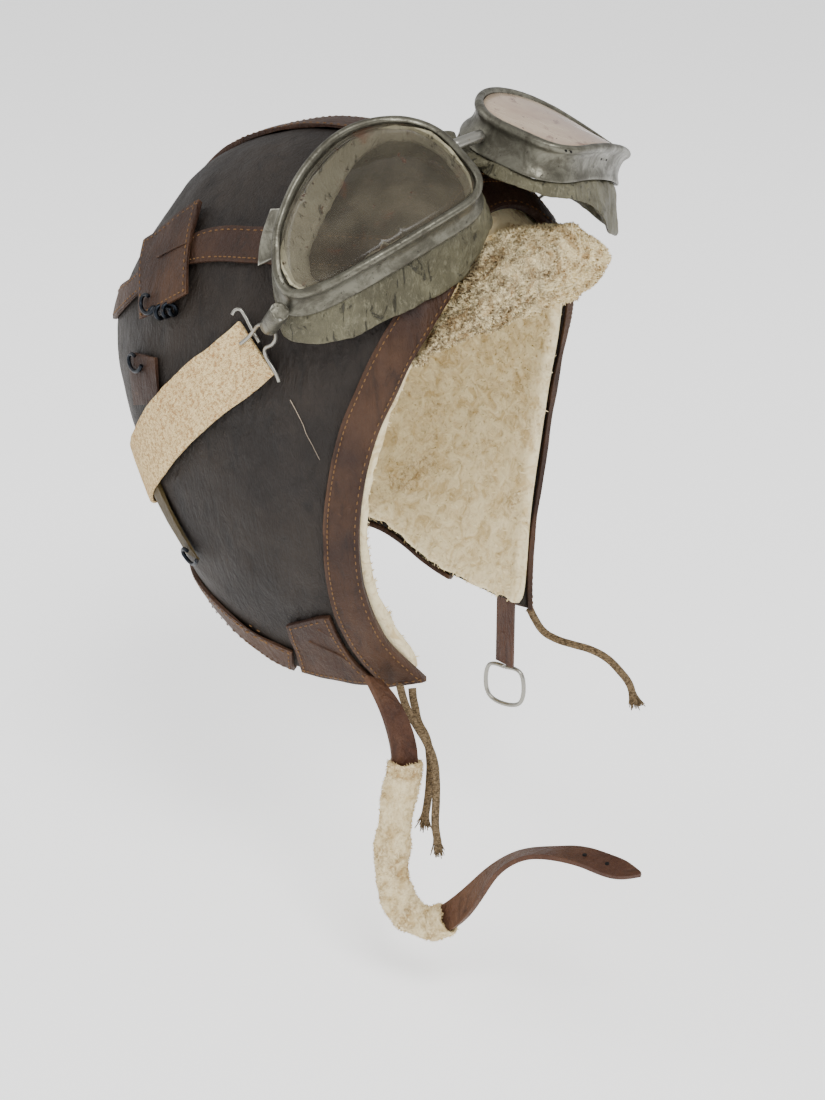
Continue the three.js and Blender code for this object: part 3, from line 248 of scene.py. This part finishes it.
def cracked_cushion(name, deep=tone(66, 62, 44), base=tone(98, 94, 72)):
    f = Finish(name)
    folds = f.noise(120, 7, 0.72, 2.2, (1.0, 1.0, 0.4))
    fine = f.noise(420, 6, 0.72, 1.5, (1.0, 1.0, 0.5))
    crack = 1 - f.step(f.noise(150, 6, 0.7, 2.5, (1.0, 1.0, 0.3)), 0.36, 0.42)
    shade = f.step(f.noise(45, 5, 0.6), 0.35, 0.7)
    color = f.blend(shade, deep, base)
    color = f.blend(f.step(fine, 0.5, 0.66) * 0.5, color, tone(124, 120, 98))
    color = f.blend(crack * 0.75, color, tone(34, 31, 22))
    color = f.blend(f.ridge(0.3, 0.7) * 0.4, color, tone(150, 146, 120))
    return f.shade({
        "Base Color": color, "Roughness": 0.5, "Specular IOR Level": 0.35,
        "Normal": f.bump(folds * 1.2 + fine * 0.6 - crack, 0.8, 0.0011)})


def dusty_glass(name, tint, dust, stain, body):
    f = Finish(name)
    film = f.step(f.noise(24, 6, 0.62, 0.6), 0.32, 0.75)
    blots = f.step(f.noise(70, 6, 0.7, 0.8), 0.56, 0.68)
    specks = f.step(f.noise(270, 3, 0.62), 0.67, 0.71)
    color = f.blend(film, tint, dust)
    color = f.blend(blots * 0.75, color, stain)
    color = f.blend(specks, color, tone(66, 46, 34))
    return f.shade({
        "Base Color": color, "Roughness": film * 0.2 + 0.14, "IOR": 1.45,
        "Alpha": film * 0.12 + blots * 0.14 + specks * 0.6 + body,
        "Normal": f.bump(f.noise(90, 3), 0.05, 0.0005)})


def woven(name, base, fleck, scale, depth=0.0008, loose=3.0):
    f = Finish(name)
    threads = f.node("ShaderNodeTexWave", {"bands_direction": "DIAGONAL"}, {
        "Vector": f.place, "Scale": scale, "Distortion": loose, "Detail": 2.0, "Detail Scale": 2.5})
    rows = f.node("ShaderNodeTexWave", {"bands_direction": "Z"}, {
        "Vector": f.place, "Scale": scale * 1.1, "Distortion": loose, "Detail": 2.0})
    weave = threads * rows
    specks = f.step(f.noise(700, 5, 0.8), 0.46, 0.58)
    dirt = f.step(f.noise(40, 6, 0.65), 0.45, 0.75)
    color = f.blend((1 - f.step(weave, 0.0, 0.35)) * 0.4, base, fleck)
    color = f.blend(specks * 0.7, color, fleck)
    color = f.blend(dirt * 0.25, color, fleck)
    return f.shade({
        "Base Color": color, "Roughness": 0.92, "Specular IOR Level": 0.12,
        "Normal": f.bump(weave + f.noise(700, 2) * 0.4, 0.7, depth)})


def bare_metal(name, base, dark, rough):
    f = Finish(name)
    rust = f.step(f.noise(240, 6, 0.7), 0.56, 0.7)
    return f.shade({
        "Base Color": f.blend(rust, base, dark), "Metallic": 0.9 - rust * 0.5,
        "Roughness": rust * 0.25 + rough, "Normal": f.bump(f.noise(500, 3), 0.1, 0.0003)})


FINISHES = {
    # The third tone of each leather is the painted shade in its fold valleys.
    "leather_dark": leather("leather_dark", tone(26, 20, 16), tone(60, 51, 43), tone(12, 9, 7),
                            gloss=0.55, crease=0.6, rubbed=0.3),
    "leather_brown": leather("leather_brown", tone(44, 25, 15), tone(98, 68, 44), tone(20, 11, 7),
                             gloss=0.52, crease=0.6),
    "leather_olive": leather("leather_olive", tone(62, 50, 22), tone(92, 78, 42), tone(30, 24, 10),
                             gloss=0.55),
    "strap": leather("strap", tone(66, 38, 24), tone(126, 92, 66), tone(36, 19, 12),
                     gloss=0.52, crease=0.8),
    "shearling": shearling("shearling", tone(236, 222, 182), tone(206, 184, 138),
                           tone(158, 126, 84), dirty=0.0),
    "shearling_brow": shearling("shearling_brow", tone(238, 222, 178), tone(178, 150, 106),
                                tone(74, 50, 28), dirty=0.8, toward=(-1.0, 0.0, 0.0)),
    "shearling_sleeve": shearling("shearling_sleeve", tone(230, 214, 172), tone(200, 176, 128),
                                  tone(150, 118, 74), dirty=0.7),
    # The pale tone is worn paint and a painted highlight on the rubbed edges.
    "grey_paint": painted_metal("grey_paint", tone(104, 102, 90), tone(214, 212, 200),
                                tone(56, 52, 42)),
    "cushion": cracked_cushion("cushion"),
    "cushion_lip": cracked_cushion("cushion_lip", tone(152, 145, 118), tone(192, 185, 156)),
    "glass": dusty_glass("glass", tone(72, 67, 56), tone(108, 100, 82), tone(96, 62, 46),
                         body=0.28),
    "glass_far": dusty_glass("glass_far", tone(146, 118, 100), tone(190, 172, 148),
                             tone(84, 40, 32), body=1.0),
    "elastic": woven("elastic", tone(255, 232, 176), tone(150, 98, 50), scale=420),
    "wire": bare_metal("wire", tone(150, 148, 140), tone(92, 76, 60), rough=0.32),
    "dark_wire": bare_metal("dark_wire", tone(30, 34, 40), tone(50, 42, 36), rough=0.38),
    "cord": woven("cord", tone(140, 120, 92), tone(48, 36, 22), scale=330, depth=1.4 * MM,
                  loose=0.4),
    "thread": leather("thread", tone(104, 74, 42), tone(130, 98, 62), tone(60, 40, 22),
                      gloss=0.7),
    # Near-black finish for the holes: painted shade inside them.
    "hole": leather("hole", tone(8, 6, 5), tone(14, 11, 10), tone(5, 4, 3), gloss=0.8),
    "scratch": leather("scratch", tone(176, 160, 140), tone(190, 176, 156), tone(120, 104, 88),
                       gloss=0.7),
}


# Shapes
def copy_of(name, merge=1e-5):
    """A node's solid with its doubles merged and its facets joined in pairs."""
    bm = bmesh.new()
    bm.from_mesh(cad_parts[name].data)
    bmesh.ops.remove_doubles(bm, verts=bm.verts, dist=merge)
    bmesh.ops.join_triangles(bm, faces=bm.faces, angle_face_threshold=0.9,
                             angle_shape_threshold=1.4)
    return bm


def mark_sharp(bm, angle, crease):
    layer = bm.edges.layers.float.get("crease_edge") or bm.edges.layers.float.new("crease_edge")
    for edge in bm.edges:
        if len(edge.link_faces) == 2 and edge.calc_face_angle() > angle:
            edge[layer] = crease


def add_to(bm, part):
    """Moves one shape into another."""
    mesh = bpy.data.meshes.new("part")
    part.to_mesh(mesh)
    part.free()
    bm.from_mesh(mesh)
    bpy.data.meshes.remove(mesh)


def smoothed(name, levels, angle=0.9, crease=1.0):
    """A node's solid, subdivided, with its sharp edges kept."""
    bm = copy_of(name)
    mark_sharp(bm, angle, crease)
    mesh = bpy.data.meshes.new("work")
    bm.to_mesh(mesh)
    bm.free()
    work = bpy.data.objects.new("work", mesh)
    bpy.context.scene.collection.objects.link(work)
    modifier = work.modifiers.new("smooth", "SUBSURF")
    modifier.levels = levels
    modifier.render_levels = levels
    graph = bpy.context.evaluated_depsgraph_get()
    result = bmesh.new()
    result.from_mesh(work.evaluated_get(graph).to_mesh())
    bpy.data.objects.remove(work)
    bpy.data.meshes.remove(mesh)
    return result


def ripple(bm, size, depth, seed=0.0, keep=None, proud=0.0):
    """Moves the skin in and out by smooth noise, proud more out than in."""
    bm.normal_update()
    shift = Vector((seed, seed * 0.7, -seed))
    moves = []
    for vert in bm.verts:
        if keep and not keep(vert):
            moves.append(0)
            continue
        moves.append(depth * (noise.fractal(vert.co / size + shift, 1.0, 2.0, 3) + proud))
    for vert, move in zip(bm.verts, moves):
        vert.co += vert.normal * move


def find_ridges(mesh):
    """Keeps on each point how far the skin falls away round it."""
    sums = [0.0] * len(mesh.vertices)
    counts = [0] * len(mesh.vertices)
    for edge in mesh.edges:
        a, b = (mesh.vertices[i] for i in edge.vertices)
        way = (b.co - a.co).normalized()
        for vert, sign in ((a, -1), (b, 1)):
            sums[vert.index] += sign * vert.normal.dot(way)
            counts[vert.index] += 1
    ridge = mesh.attributes.new("ridge", "FLOAT", "POINT")
    ridge.data.foreach_set("value", [s / max(1, n) for s, n in zip(sums, counts)])


def place(bm, name, nodes, slot, finish=None, edge=0.0):
    """Makes the piece, dressed and riding on the part, its sharp edges rounded by edge."""
    mesh = bpy.data.meshes.new(name)
    bm.to_mesh(mesh)
    bm.free()
    for face in mesh.polygons:
        face.use_smooth = True
    find_ridges(mesh)
    mesh.materials.append(FINISHES[finish or slot])
    piece = bpy.data.objects.new(name, mesh)
    bpy.context.scene.collection.objects.link(piece)
    if edge:
        rounding = piece.modifiers.new("edge", "BEVEL")
        rounding.width = edge
        rounding.segments = 2
        rounding.limit_method = "ANGLE"
        rounding.angle_limit = 0.75
    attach(piece, "root")
    if nodes:
        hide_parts(*nodes)
    return piece


def sight(node_names):
    """Finds the point of these nodes that stands at a place of the picture."""
    bm = bmesh.new()
    for name in node_names:
        bm.from_mesh(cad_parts[name].data)
    tree = BVHTree.FromBMesh(bm)

    def at(across, down):
        way = (AHEAD + RIGHT * ((across - WIDE / 2) / FOCAL_PIXELS)
               - UP * ((down - HIGH / 2) / FOCAL_PIXELS)).normalized()
        point, normal, _, _ = tree.ray_cast(EYE, way)
        return point, normal
    return at


# Cords
CORD_WIDE = 3.4
ROUTES = {
    "lace_right_long": [
        (-51.2, -58.4, -207.7), (-54, -62, -211.5), (-56, -65.5, -215), (-59, -72, -219),
        (-62, -79, -223.5), (-64, -83.7, -229.5), (-65, -85.4, -237.1), (-65.5, -85.8, -246.8),
        (-65.5, -85.5, -257.6), (-65, -86.5, -265.9)],
    "lace_right_short": [
        (-47.5, -62, -209.3), (-49, -63.5, -213), (-50.5, -65.5, -216), (-53, -68.5, -220),
        (-55.5, -74.5, -225.5), (-57.5, -77.5, -233.4), (-58.5, -78, -242), (-59, -77.5, -251.1),
        (-59, -76, -260.2)],
    "lace_left": [
        (49, -60.4, -208.8), (50, -62.5, -213.5), (50, -67, -218.5), (49.5, -74, -220.5),
        (49.5, -83, -221), (50, -92, -221.5), (50.5, -100, -224), (51, -106, -228.5),
        (52, -110.5, -234), (52.5, -112.5, -240)],
}


def strand(bm, points, radius, sides=6, taper=1.0):
    """A thin round strand through points, made by extruding a ring from one to the next."""
    rings = []
    for i, point in enumerate(points):
        before = points[max(0, i - 1)]
        after = points[min(len(points) - 1, i + 1)]
        turn = (after - before).to_track_quat("Z", "Y").to_matrix().to_4x4()
        size = radius * (1 - (1 - taper) * i / (len(points) - 1))
        made = bmesh.ops.create_circle(
            bm, cap_ends=False, segments=sides, radius=size,
            matrix=Matrix.Translation(point) @ turn)
        rings.append(made["verts"])
    for a, b in zip(rings, rings[1:]):
        edges = [e for v in a for e in v.link_edges if e.other_vert(v) in a]
        others = [e for v in b for e in v.link_edges if e.other_vert(v) in b]
        bmesh.ops.bridge_loops(bm, edges=list(set(edges)) + list(set(others)))
    for ring in (rings[0], rings[-1]):
        bmesh.ops.contextual_create(bm, geom=ring)
    bmesh.ops.recalc_face_normals(bm, faces=bm.faces)


def frayed(name, route, count, reach):
    """Loose threads at a cord's end."""
    end = Vector(route[-1]) * MM
    way = (end - Vector(route[-2]) * MM).normalized()
    bm = bmesh.new()
    for _ in range(count):
        part = bmesh.new()
        side = Vector((random.uniform(-1, 1), random.uniform(-1, 1), random.uniform(-1, 1)))
        side -= way * side.dot(way)
        start = end - way * 2 * MM + side * CORD_WIDE * 0.32 * MM
        long = reach * random.uniform(0.55, 1.0)
        points = [start + way * long * t + side * long * 0.25 * t ** 1.6
                  for t in (0, 0.3, 0.6, 0.85, 1)]
        strand(part, points, 0.32 * MM, 5, 0.6)
        add_to(bm, part)
    return place(bm, name, [], "cord")


def lace(name, route):
    """A flat braided lace that hangs along its route, with a frayed end."""
    data = bpy.data.curves.new(name, "CURVE")
    data.dimensions = "3D"
    data.bevel_depth = CORD_WIDE / 2 * MM
    data.bevel_resolution = 3
    data.resolution_u = 8
    data.use_fill_caps = True
    spline = data.splines.new("BEZIER")
    spline.bezier_points.add(len(route) - 1)
    for knot, point in zip(spline.bezier_points, route):
        knot.co = Vector(point) * MM
        knot.handle_left_type = "AUTO"
        knot.handle_right_type = "AUTO"
    piece = bpy.data.objects.new(name + "_braid", data)
    bpy.context.scene.collection.objects.link(piece)
    data.materials.append(FINISHES["cord"])
    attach(piece, "root")
    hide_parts(name)
    ends = frayed(name + "_fray", route, 60, 8 * MM)


for lace_name, lace_route in ROUTES.items():
    lace(lace_name, lace_route)


# Leather panels and trims, each with its level of smoothing
PANELS = {"crown_right": 3, "crown_left": 3, "side_right": 3, "side_left": 3}
TRIMS = {
    "face_binding": 2, "hem_binding": 2, "seam_band": 2, "top_strip": 2,
    "corner_patch_right": 3, "corner_patch_left": 3, "upper_tab_right": 3, "upper_tab_left": 3,
    "lower_tab_right": 3, "lower_tab_left": 3,
}
NAPE_STRAPS = {"nape_strap_right": 2, "nape_strap_left": 2}


def worn_leather(node, levels):
    """A leather piece that waves as the helmet does, so that trims follow their panels."""
    skin = smoothed(node, levels)
    ripple(skin, 30 * MM, 0.9 * MM)
    return skin


for pieces, look, rounding in (
        (PANELS, "leather_dark", 0.3 * MM), (TRIMS, "leather_brown", 0.45 * MM),
        (NAPE_STRAPS, "leather_olive", 0.4 * MM)):
    for node, levels in pieces.items():
        place(worn_leather(node, levels), node + "_leather", [node], look, edge=rounding)


def outward(point):
    """The way out of the head at a point: level below the ears, rounding up to the crown."""
    return (point - Vector((0, 0, min(point.z, -0.07)))).normalized()


SHARP = 0.9  # turn between two faces that counts as a sharp edge, in radians
THREAD_WIDE, THREAD_HIGH, THREAD_PROUD = 0.6 * MM, 0.48 * MM, 0.12 * MM


def stitches(name, nodes, inset, pitch):
    """Thread stitches in a row beside the outer edges of a trim."""
    bm = bmesh.new()
    for node in nodes:
        body = worn_leather(node, 1)
        body.normal_update()
        for edge in body.edges:
            if len(edge.link_faces) != 2 or edge.calc_face_angle() < SHARP:
                continue
            tops = [f for f in edge.link_faces
                    if f.normal.dot(outward(f.calc_center_median())) > 0.55]
            if len(tops) != 1:
                continue
            face = tops[0]
            a, b = (v.co for v in edge.verts)
            along = (b - a).normalized()
            inward = face.normal.cross(along)
            if inward.dot(face.calc_center_median() - (a + b) / 2) < 0:
                inward.negate()
            if (b - a).length < pitch * 0.6:
                continue
            count = max(1, round((b - a).length / pitch))
            turn = Matrix((along, face.normal.cross(along), face.normal)).transposed().to_4x4()
            size = Matrix.Diagonal((pitch * 0.33, THREAD_WIDE / 2, THREAD_HIGH / 2, 1))
            for i in range(count):
                at = a.lerp(b, (i + 0.5) / count) + inward * inset + face.normal * THREAD_PROUD
                bmesh.ops.create_icosphere(bm, subdivisions=1, radius=1,
                                           matrix=Matrix.Translation(at) @ turn @ size)
        body.free()
    return place(bm, name, [], "leather_brown", "thread")


stitches("binding_stitches", ["face_binding", "hem_binding"], 1.7 * MM, 2.8 * MM)
stitches("band_stitches", ["seam_band", "top_strip"], 1.6 * MM, 2.8 * MM)
stitches("tab_stitches", ["upper_tab_right", "upper_tab_left"], 1.8 * MM, 2.6 * MM)
stitches("patch_stitches", ["corner_patch_right", "corner_patch_left"], 1.8 * MM, 2.8 * MM)


# Shearling
LOCK_ROWS = (0.0, 0.45, 0.85, 1.0)


def curls(bm, count, long, width, wanted):
    """Short bent locks of wool on the skin: one long grid, parted into strips and set down."""
    bm.normal_update()
    faces = [f for f in bm.faces if wanted(f)]
    areas = [f.calc_area() for f in faces]
    columns = 2 * count
    locks = bmesh.new()
    points = bmesh.ops.create_grid(locks, x_segments=columns - 1, size=1,
                                   y_segments=len(LOCK_ROWS) - 1)["verts"]
    between = [f for i, f in enumerate(locks.faces) if i % (columns - 1) % 2]
    bmesh.ops.delete(locks, geom=between, context="FACES")
    for i, face in enumerate(random.choices(faces, weights=areas, k=count)):
        corners = [v.co for v in face.verts]
        shares = [random.random() for _ in corners]
        total = sum(shares)
        root = sum((c * s for c, s in zip(corners, shares)), Vector()) / total
        lean = Vector((random.gauss(0, 1), random.gauss(0, 1), random.gauss(0, 1)))
        lean = (lean - face.normal * lean.dot(face.normal)).normalized()
        across = face.normal.cross(lean)
        reach = long * random.uniform(0.6, 1.3)
        for row, t in enumerate(LOCK_ROWS):
            lift = face.normal * reach * math.sin(t * 1.9) * 0.75
            centre = root + lift + lean * reach * t * 0.9
            half = across * width * (1 - t * 0.75)
            points[row * columns + 2 * i].co = centre - half
            points[row * columns + 2 * i + 1].co = centre + half
    add_to(bm, locks)


def open_side(thing):
    """True where the lining faces the head or the free edge, not the leather."""
    point = thing.co if hasattr(thing, "co") else thing.calc_center_median()
    return thing.normal.dot(outward(point)) < 0.35


lining = smoothed("fleece_lining", 3, crease=0.3)
ripple(lining, 7 * MM, 1.1 * MM, 3.0, open_side, proud=0.6)
curls(lining, 16000, 1.5 * MM, 0.34 * MM, open_side)
place(lining, "lining_fleece", ["fleece_lining"], "shearling")

brow = smoothed("fleece_brow", 3, crease=0.0)
ripple(brow, 12 * MM, 2.2 * MM, 5.0)
ripple(brow, 6 * MM, 1.8 * MM, 8.0)
curls(brow, 27000, 1.2 * MM, 0.28 * MM, lambda face: True)
place(brow, "brow_fleece", ["fleece_brow"], "shearling", "shearling_brow")

sleeve = smoothed("strap_sleeve", 3, crease=0.4)
ripple(sleeve, 9 * MM, 1.1 * MM, 2.0)
ripple(sleeve, 3 * MM, 0.3 * MM, 7.0)
curls(sleeve, 9000, 0.8 * MM, 0.2 * MM, lambda face: True)
place(sleeve, "sleeve_fleece", ["strap_sleeve"], "shearling", "shearling_sleeve")

# Chin straps
for node in ("chin_strap", "chin_strap_left"):
    place(smoothed(node, 3), node + "_leather", [node], "strap", edge=0.4 * MM)


# Small marks: punched holes, raised lines and the hook's coil
def punched(name, spots, radius, nodes):
    """Dark round discs at places of the picture on these nodes, painted shade where the holes are.
    """
    look = sight(nodes)
    bm = bmesh.new()
    for across, down in spots:
        point, normal = look(across, down)
        turn = normal.to_track_quat("Z", "Y").to_matrix().to_4x4()
        bmesh.ops.create_cone(bm, cap_ends=True, segments=14, radius1=radius, radius2=radius,
                              depth=0.5 * MM, matrix=Matrix.Translation(point) @ turn)
    return place(bm, name, [], "strap", "hole")


punched("strap_holes", STRAP_HOLES_SEEN, 0.9 * MM, ["chin_strap"])
punched("vent_holes", VENT_HOLES_SEEN, 0.45 * MM, ["eyecup_left"])


def drawn(name, lines, radius, nodes, slot, finish=None):
    """Thin raised lines that follow places of the picture on these nodes."""
    look = sight(nodes)
    bm = bmesh.new()
    for line in lines:
        points = []
        for (x0, y0), (x1, y1) in zip(line, line[1:]):
            for i in range(4):
                hit, _ = look(x0 + (x1 - x0) * i / 4, y0 + (y1 - y0) * i / 4)
                if hit:
                    points.append(hit)
        part = bmesh.new()
        strand(part, points, radius, 6, 0.4)
        add_to(bm, part)
    return place(bm, name, [], slot, finish)


drawn("scratch", SCRATCH_SEEN, 0.16 * MM, ["side_right"], "leather_dark", "scratch")
drawn("patch_folds", PATCH_FOLDS_SEEN, 0.7 * MM, ["corner_patch_right"], "leather_brown")


def coil(name, ends, nodes, lift, radius, turns, wire):
    """A few turns of wire wound round the line between two places of the picture."""
    look = sight(nodes)
    (a, up), (b, _) = look(*ends[0]), look(*ends[1])
    a, b = a + up * lift, b + up * lift
    along = (b - a).normalized()
    side = up.cross(along).normalized()
    bm = bmesh.new()
    steps = 12
    points = []
    for i in range(turns * steps + 1):
        angle = math.tau * i / steps
        out = (up * math.cos(angle) + side * math.sin(angle)) * radius
        points.append(a.lerp(b, i / (turns * steps)) + out)
    strand(bm, points, wire, 8)
    return place(bm, name, [], "dark_wire")


coil("hook_coil", HOOK_COIL_SEEN, ["side_right"], lift=3.2 * MM, radius=2.5 * MM, turns=3,
     wire=0.95 * MM)
drawn("tab_fold", TAB_FOLD_SEEN, 0.5 * MM, ["upper_tab_right"], "leather_brown")

# Elastic
elastic = smoothed("elastic_strap", 2)
ripple(elastic, 10 * MM, 0.3 * MM, 4.0)
place(elastic, "elastic_weave", ["elastic_strap"], "elastic", edge=0.4 * MM)

# Goggles
for side in ("right", "left"):
    cup = smoothed("eyecup_" + side, 3, angle=1.25, crease=0.45)
    ripple(cup, 12 * MM, 0.1 * MM, 1.0)
    place(cup, "eyecup_metal_" + side, ["eyecup_" + side], "grey_paint")
    pane = smoothed("lens_" + side, 2)
    place(pane, "lens_glass_" + side, ["lens_" + side], "glass",
          "glass" if side == "right" else "glass_far")
    pad = smoothed("cushion_" + side, 3, angle=1.2, crease=0.35)
    ripple(pad, 14 * MM, 0.9 * MM, 6.0)
    ripple(pad, 4 * MM, 0.3 * MM, 9.0)
    place(pad, "cushion_pad_" + side, ["cushion_" + side], "cushion")
    tube = smoothed("temple_tube_" + side, 2, crease=0.8)
    place(tube, "temple_tube_metal_" + side, ["temple_tube_" + side], "grey_paint")


def cushion_lip():
    """The cushion's inner wall that shows through the near glass, wide on the temple side."""
    facing = Vector((-0.601, -0.401, 0.691)).normalized()  # the way that the near lens looks
    nose = Vector((0.798, -0.25, 0.549)).normalized()  # along that lens, toward the nose
    cross = facing.cross(nose)
    spots = [v.co.copy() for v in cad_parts["lens_right"].data.vertices]
    middle = sum(spots, Vector()) / len(spots)
    arms = [p - middle for p in spots]
    rim = [(math.atan2(arm.dot(cross), arm.dot(nose)), arm.length) for arm in arms]
    nearly_all, narrow, broad = 0.97, 0.05, 0.36  # shares of the glass's reach
    temple_side = 2.1  # where the wall is broadest, as an angle from the nose
    behind, deep, wall = 2.6 * MM, 7 * MM, 0.7 * MM
    count = 72
    bm = bmesh.new()
    ring = bmesh.ops.create_circle(bm, segments=count, radius=1)["verts"]
    angles = [math.atan2(v.co.y, v.co.x) for v in ring]
    reach = [max((r for t, r in rim if abs(math.remainder(t - a, math.tau)) < 0.14), default=0.03)
             for a in angles]
    reach = [sum(reach[(i + step) % count] for step in range(-2, 3)) / 5 for i in range(count)]

    def settle(verts, share):
        """Sets a ring at a share of the wall's depth, 0 at the glass and 1 at the back."""
        for vert, angle, far in zip(verts, angles, reach):
            wide = narrow + broad * max(0.0, math.cos(angle - temple_side))
            out = far * (nearly_all - wide * share)
            vert.co = (middle + nose * out * math.cos(angle) + cross * out * math.sin(angle)
                       - facing * (behind + deep * share))

    settle(ring, 0)
    loop = list(bm.edges)
    rows = 6
    for row in range(1, rows + 1):
        made = bmesh.ops.extrude_edge_only(bm, edges=loop)["geom"]
        loop = [g for g in made if isinstance(g, bmesh.types.BMEdge)]
        new = {v for e in loop for v in e.verts}
        ring = [next(e.other_vert(v) for e in v.link_edges if e.other_vert(v) in new)
                for v in ring]
        settle(ring, row / rows)
    bmesh.ops.recalc_face_normals(bm, faces=bm.faces)
    bmesh.ops.solidify(bm, geom=bm.faces[:], thickness=wall)
    ripple(bm, 7 * MM, 0.6 * MM, 3.0)
    return place(bm, "cushion_lip", [], "cushion", "cushion_lip")


cushion_lip()
nose_pad = smoothed("cushion_nose", 3, crease=0.4)
ripple(nose_pad, 12 * MM, 0.6 * MM, 6.0)
place(nose_pad, "cushion_nose_pad", ["cushion_nose"], "cushion")
place(smoothed("bridge_tube", 2, crease=0.8), "bridge_metal", ["bridge_tube"], "wire")
place(smoothed("rim_tab", 2), "rim_tab_metal", ["rim_tab"], "grey_paint", edge=0.2 * MM)

# Wires
WIRES = {
    "buckle_right": "wire", "buckle_bar_right": "wire", "buckle_left": "wire",
    "chin_buckle": "wire", "crown_hook": "wire",
    "upper_hook_right": "dark_wire", "upper_hook_left": "dark_wire",
    "lower_hook_right": "dark_wire", "lower_hook_left": "dark_wire",
    "nape_hook_right": "dark_wire", "nape_hook_left": "dark_wire",
}
for node, slot_name in WIRES.items():
    place(smoothed(node, 2, angle=1.4, crease=0.8), node + "_wire", [node], slot_name)


# Setting: a pale floor, soft lights and a pale sky
def setting():
    """Lights as name, place, width and power, all aimed at the helmet's middle."""
    bm = bmesh.new()
    bmesh.ops.create_grid(bm, x_segments=1, y_segments=1, size=6)
    mesh = bpy.data.meshes.new("floor")
    bm.to_mesh(mesh)
    bm.free()
    floor = bpy.data.objects.new("floor", mesh)
    floor.location.z = CAD_BOX[0].z - 0.03
    bpy.context.scene.collection.objects.link(floor)
    f = Finish("pale_floor")
    mesh.materials.append(f.shade({
        "Base Color": (0.98, 0.98, 0.98, 1), "Roughness": 0.95,
        "Emission Color": (1, 1, 1, 1), "Emission Strength": 0.75}))
    lights = [
        ("key", (-0.9, -1.1, 1.5), 0.8, 34), ("fill", (1.4, -1.2, 0.8), 1.6, 8),
        ("back", (-0.6, 1.5, 1.2), 1.4, 14), ("low", (-1.2, -0.6, -0.1), 1.0, 5)]
    for name, at, size, power in lights:
        data = bpy.data.lights.new(name, "AREA")
        data.size = size
        data.energy = power
        lamp = bpy.data.objects.new(name, data)
        lamp.location = at
        aim = Vector((0, 0, -0.1)) - Vector(at)
        lamp.rotation_euler = aim.to_track_quat("-Z", "Y").to_euler()
        bpy.context.scene.collection.objects.link(lamp)
    world = bpy.data.worlds.new("pale")
    world.use_nodes = True
    sky = world.node_tree.nodes["Background"]
    sky.inputs[0].default_value = (1.0, 1.0, 1.0, 1)
    sky.inputs[1].default_value = 0.7
    bpy.context.scene.world = world


setting()
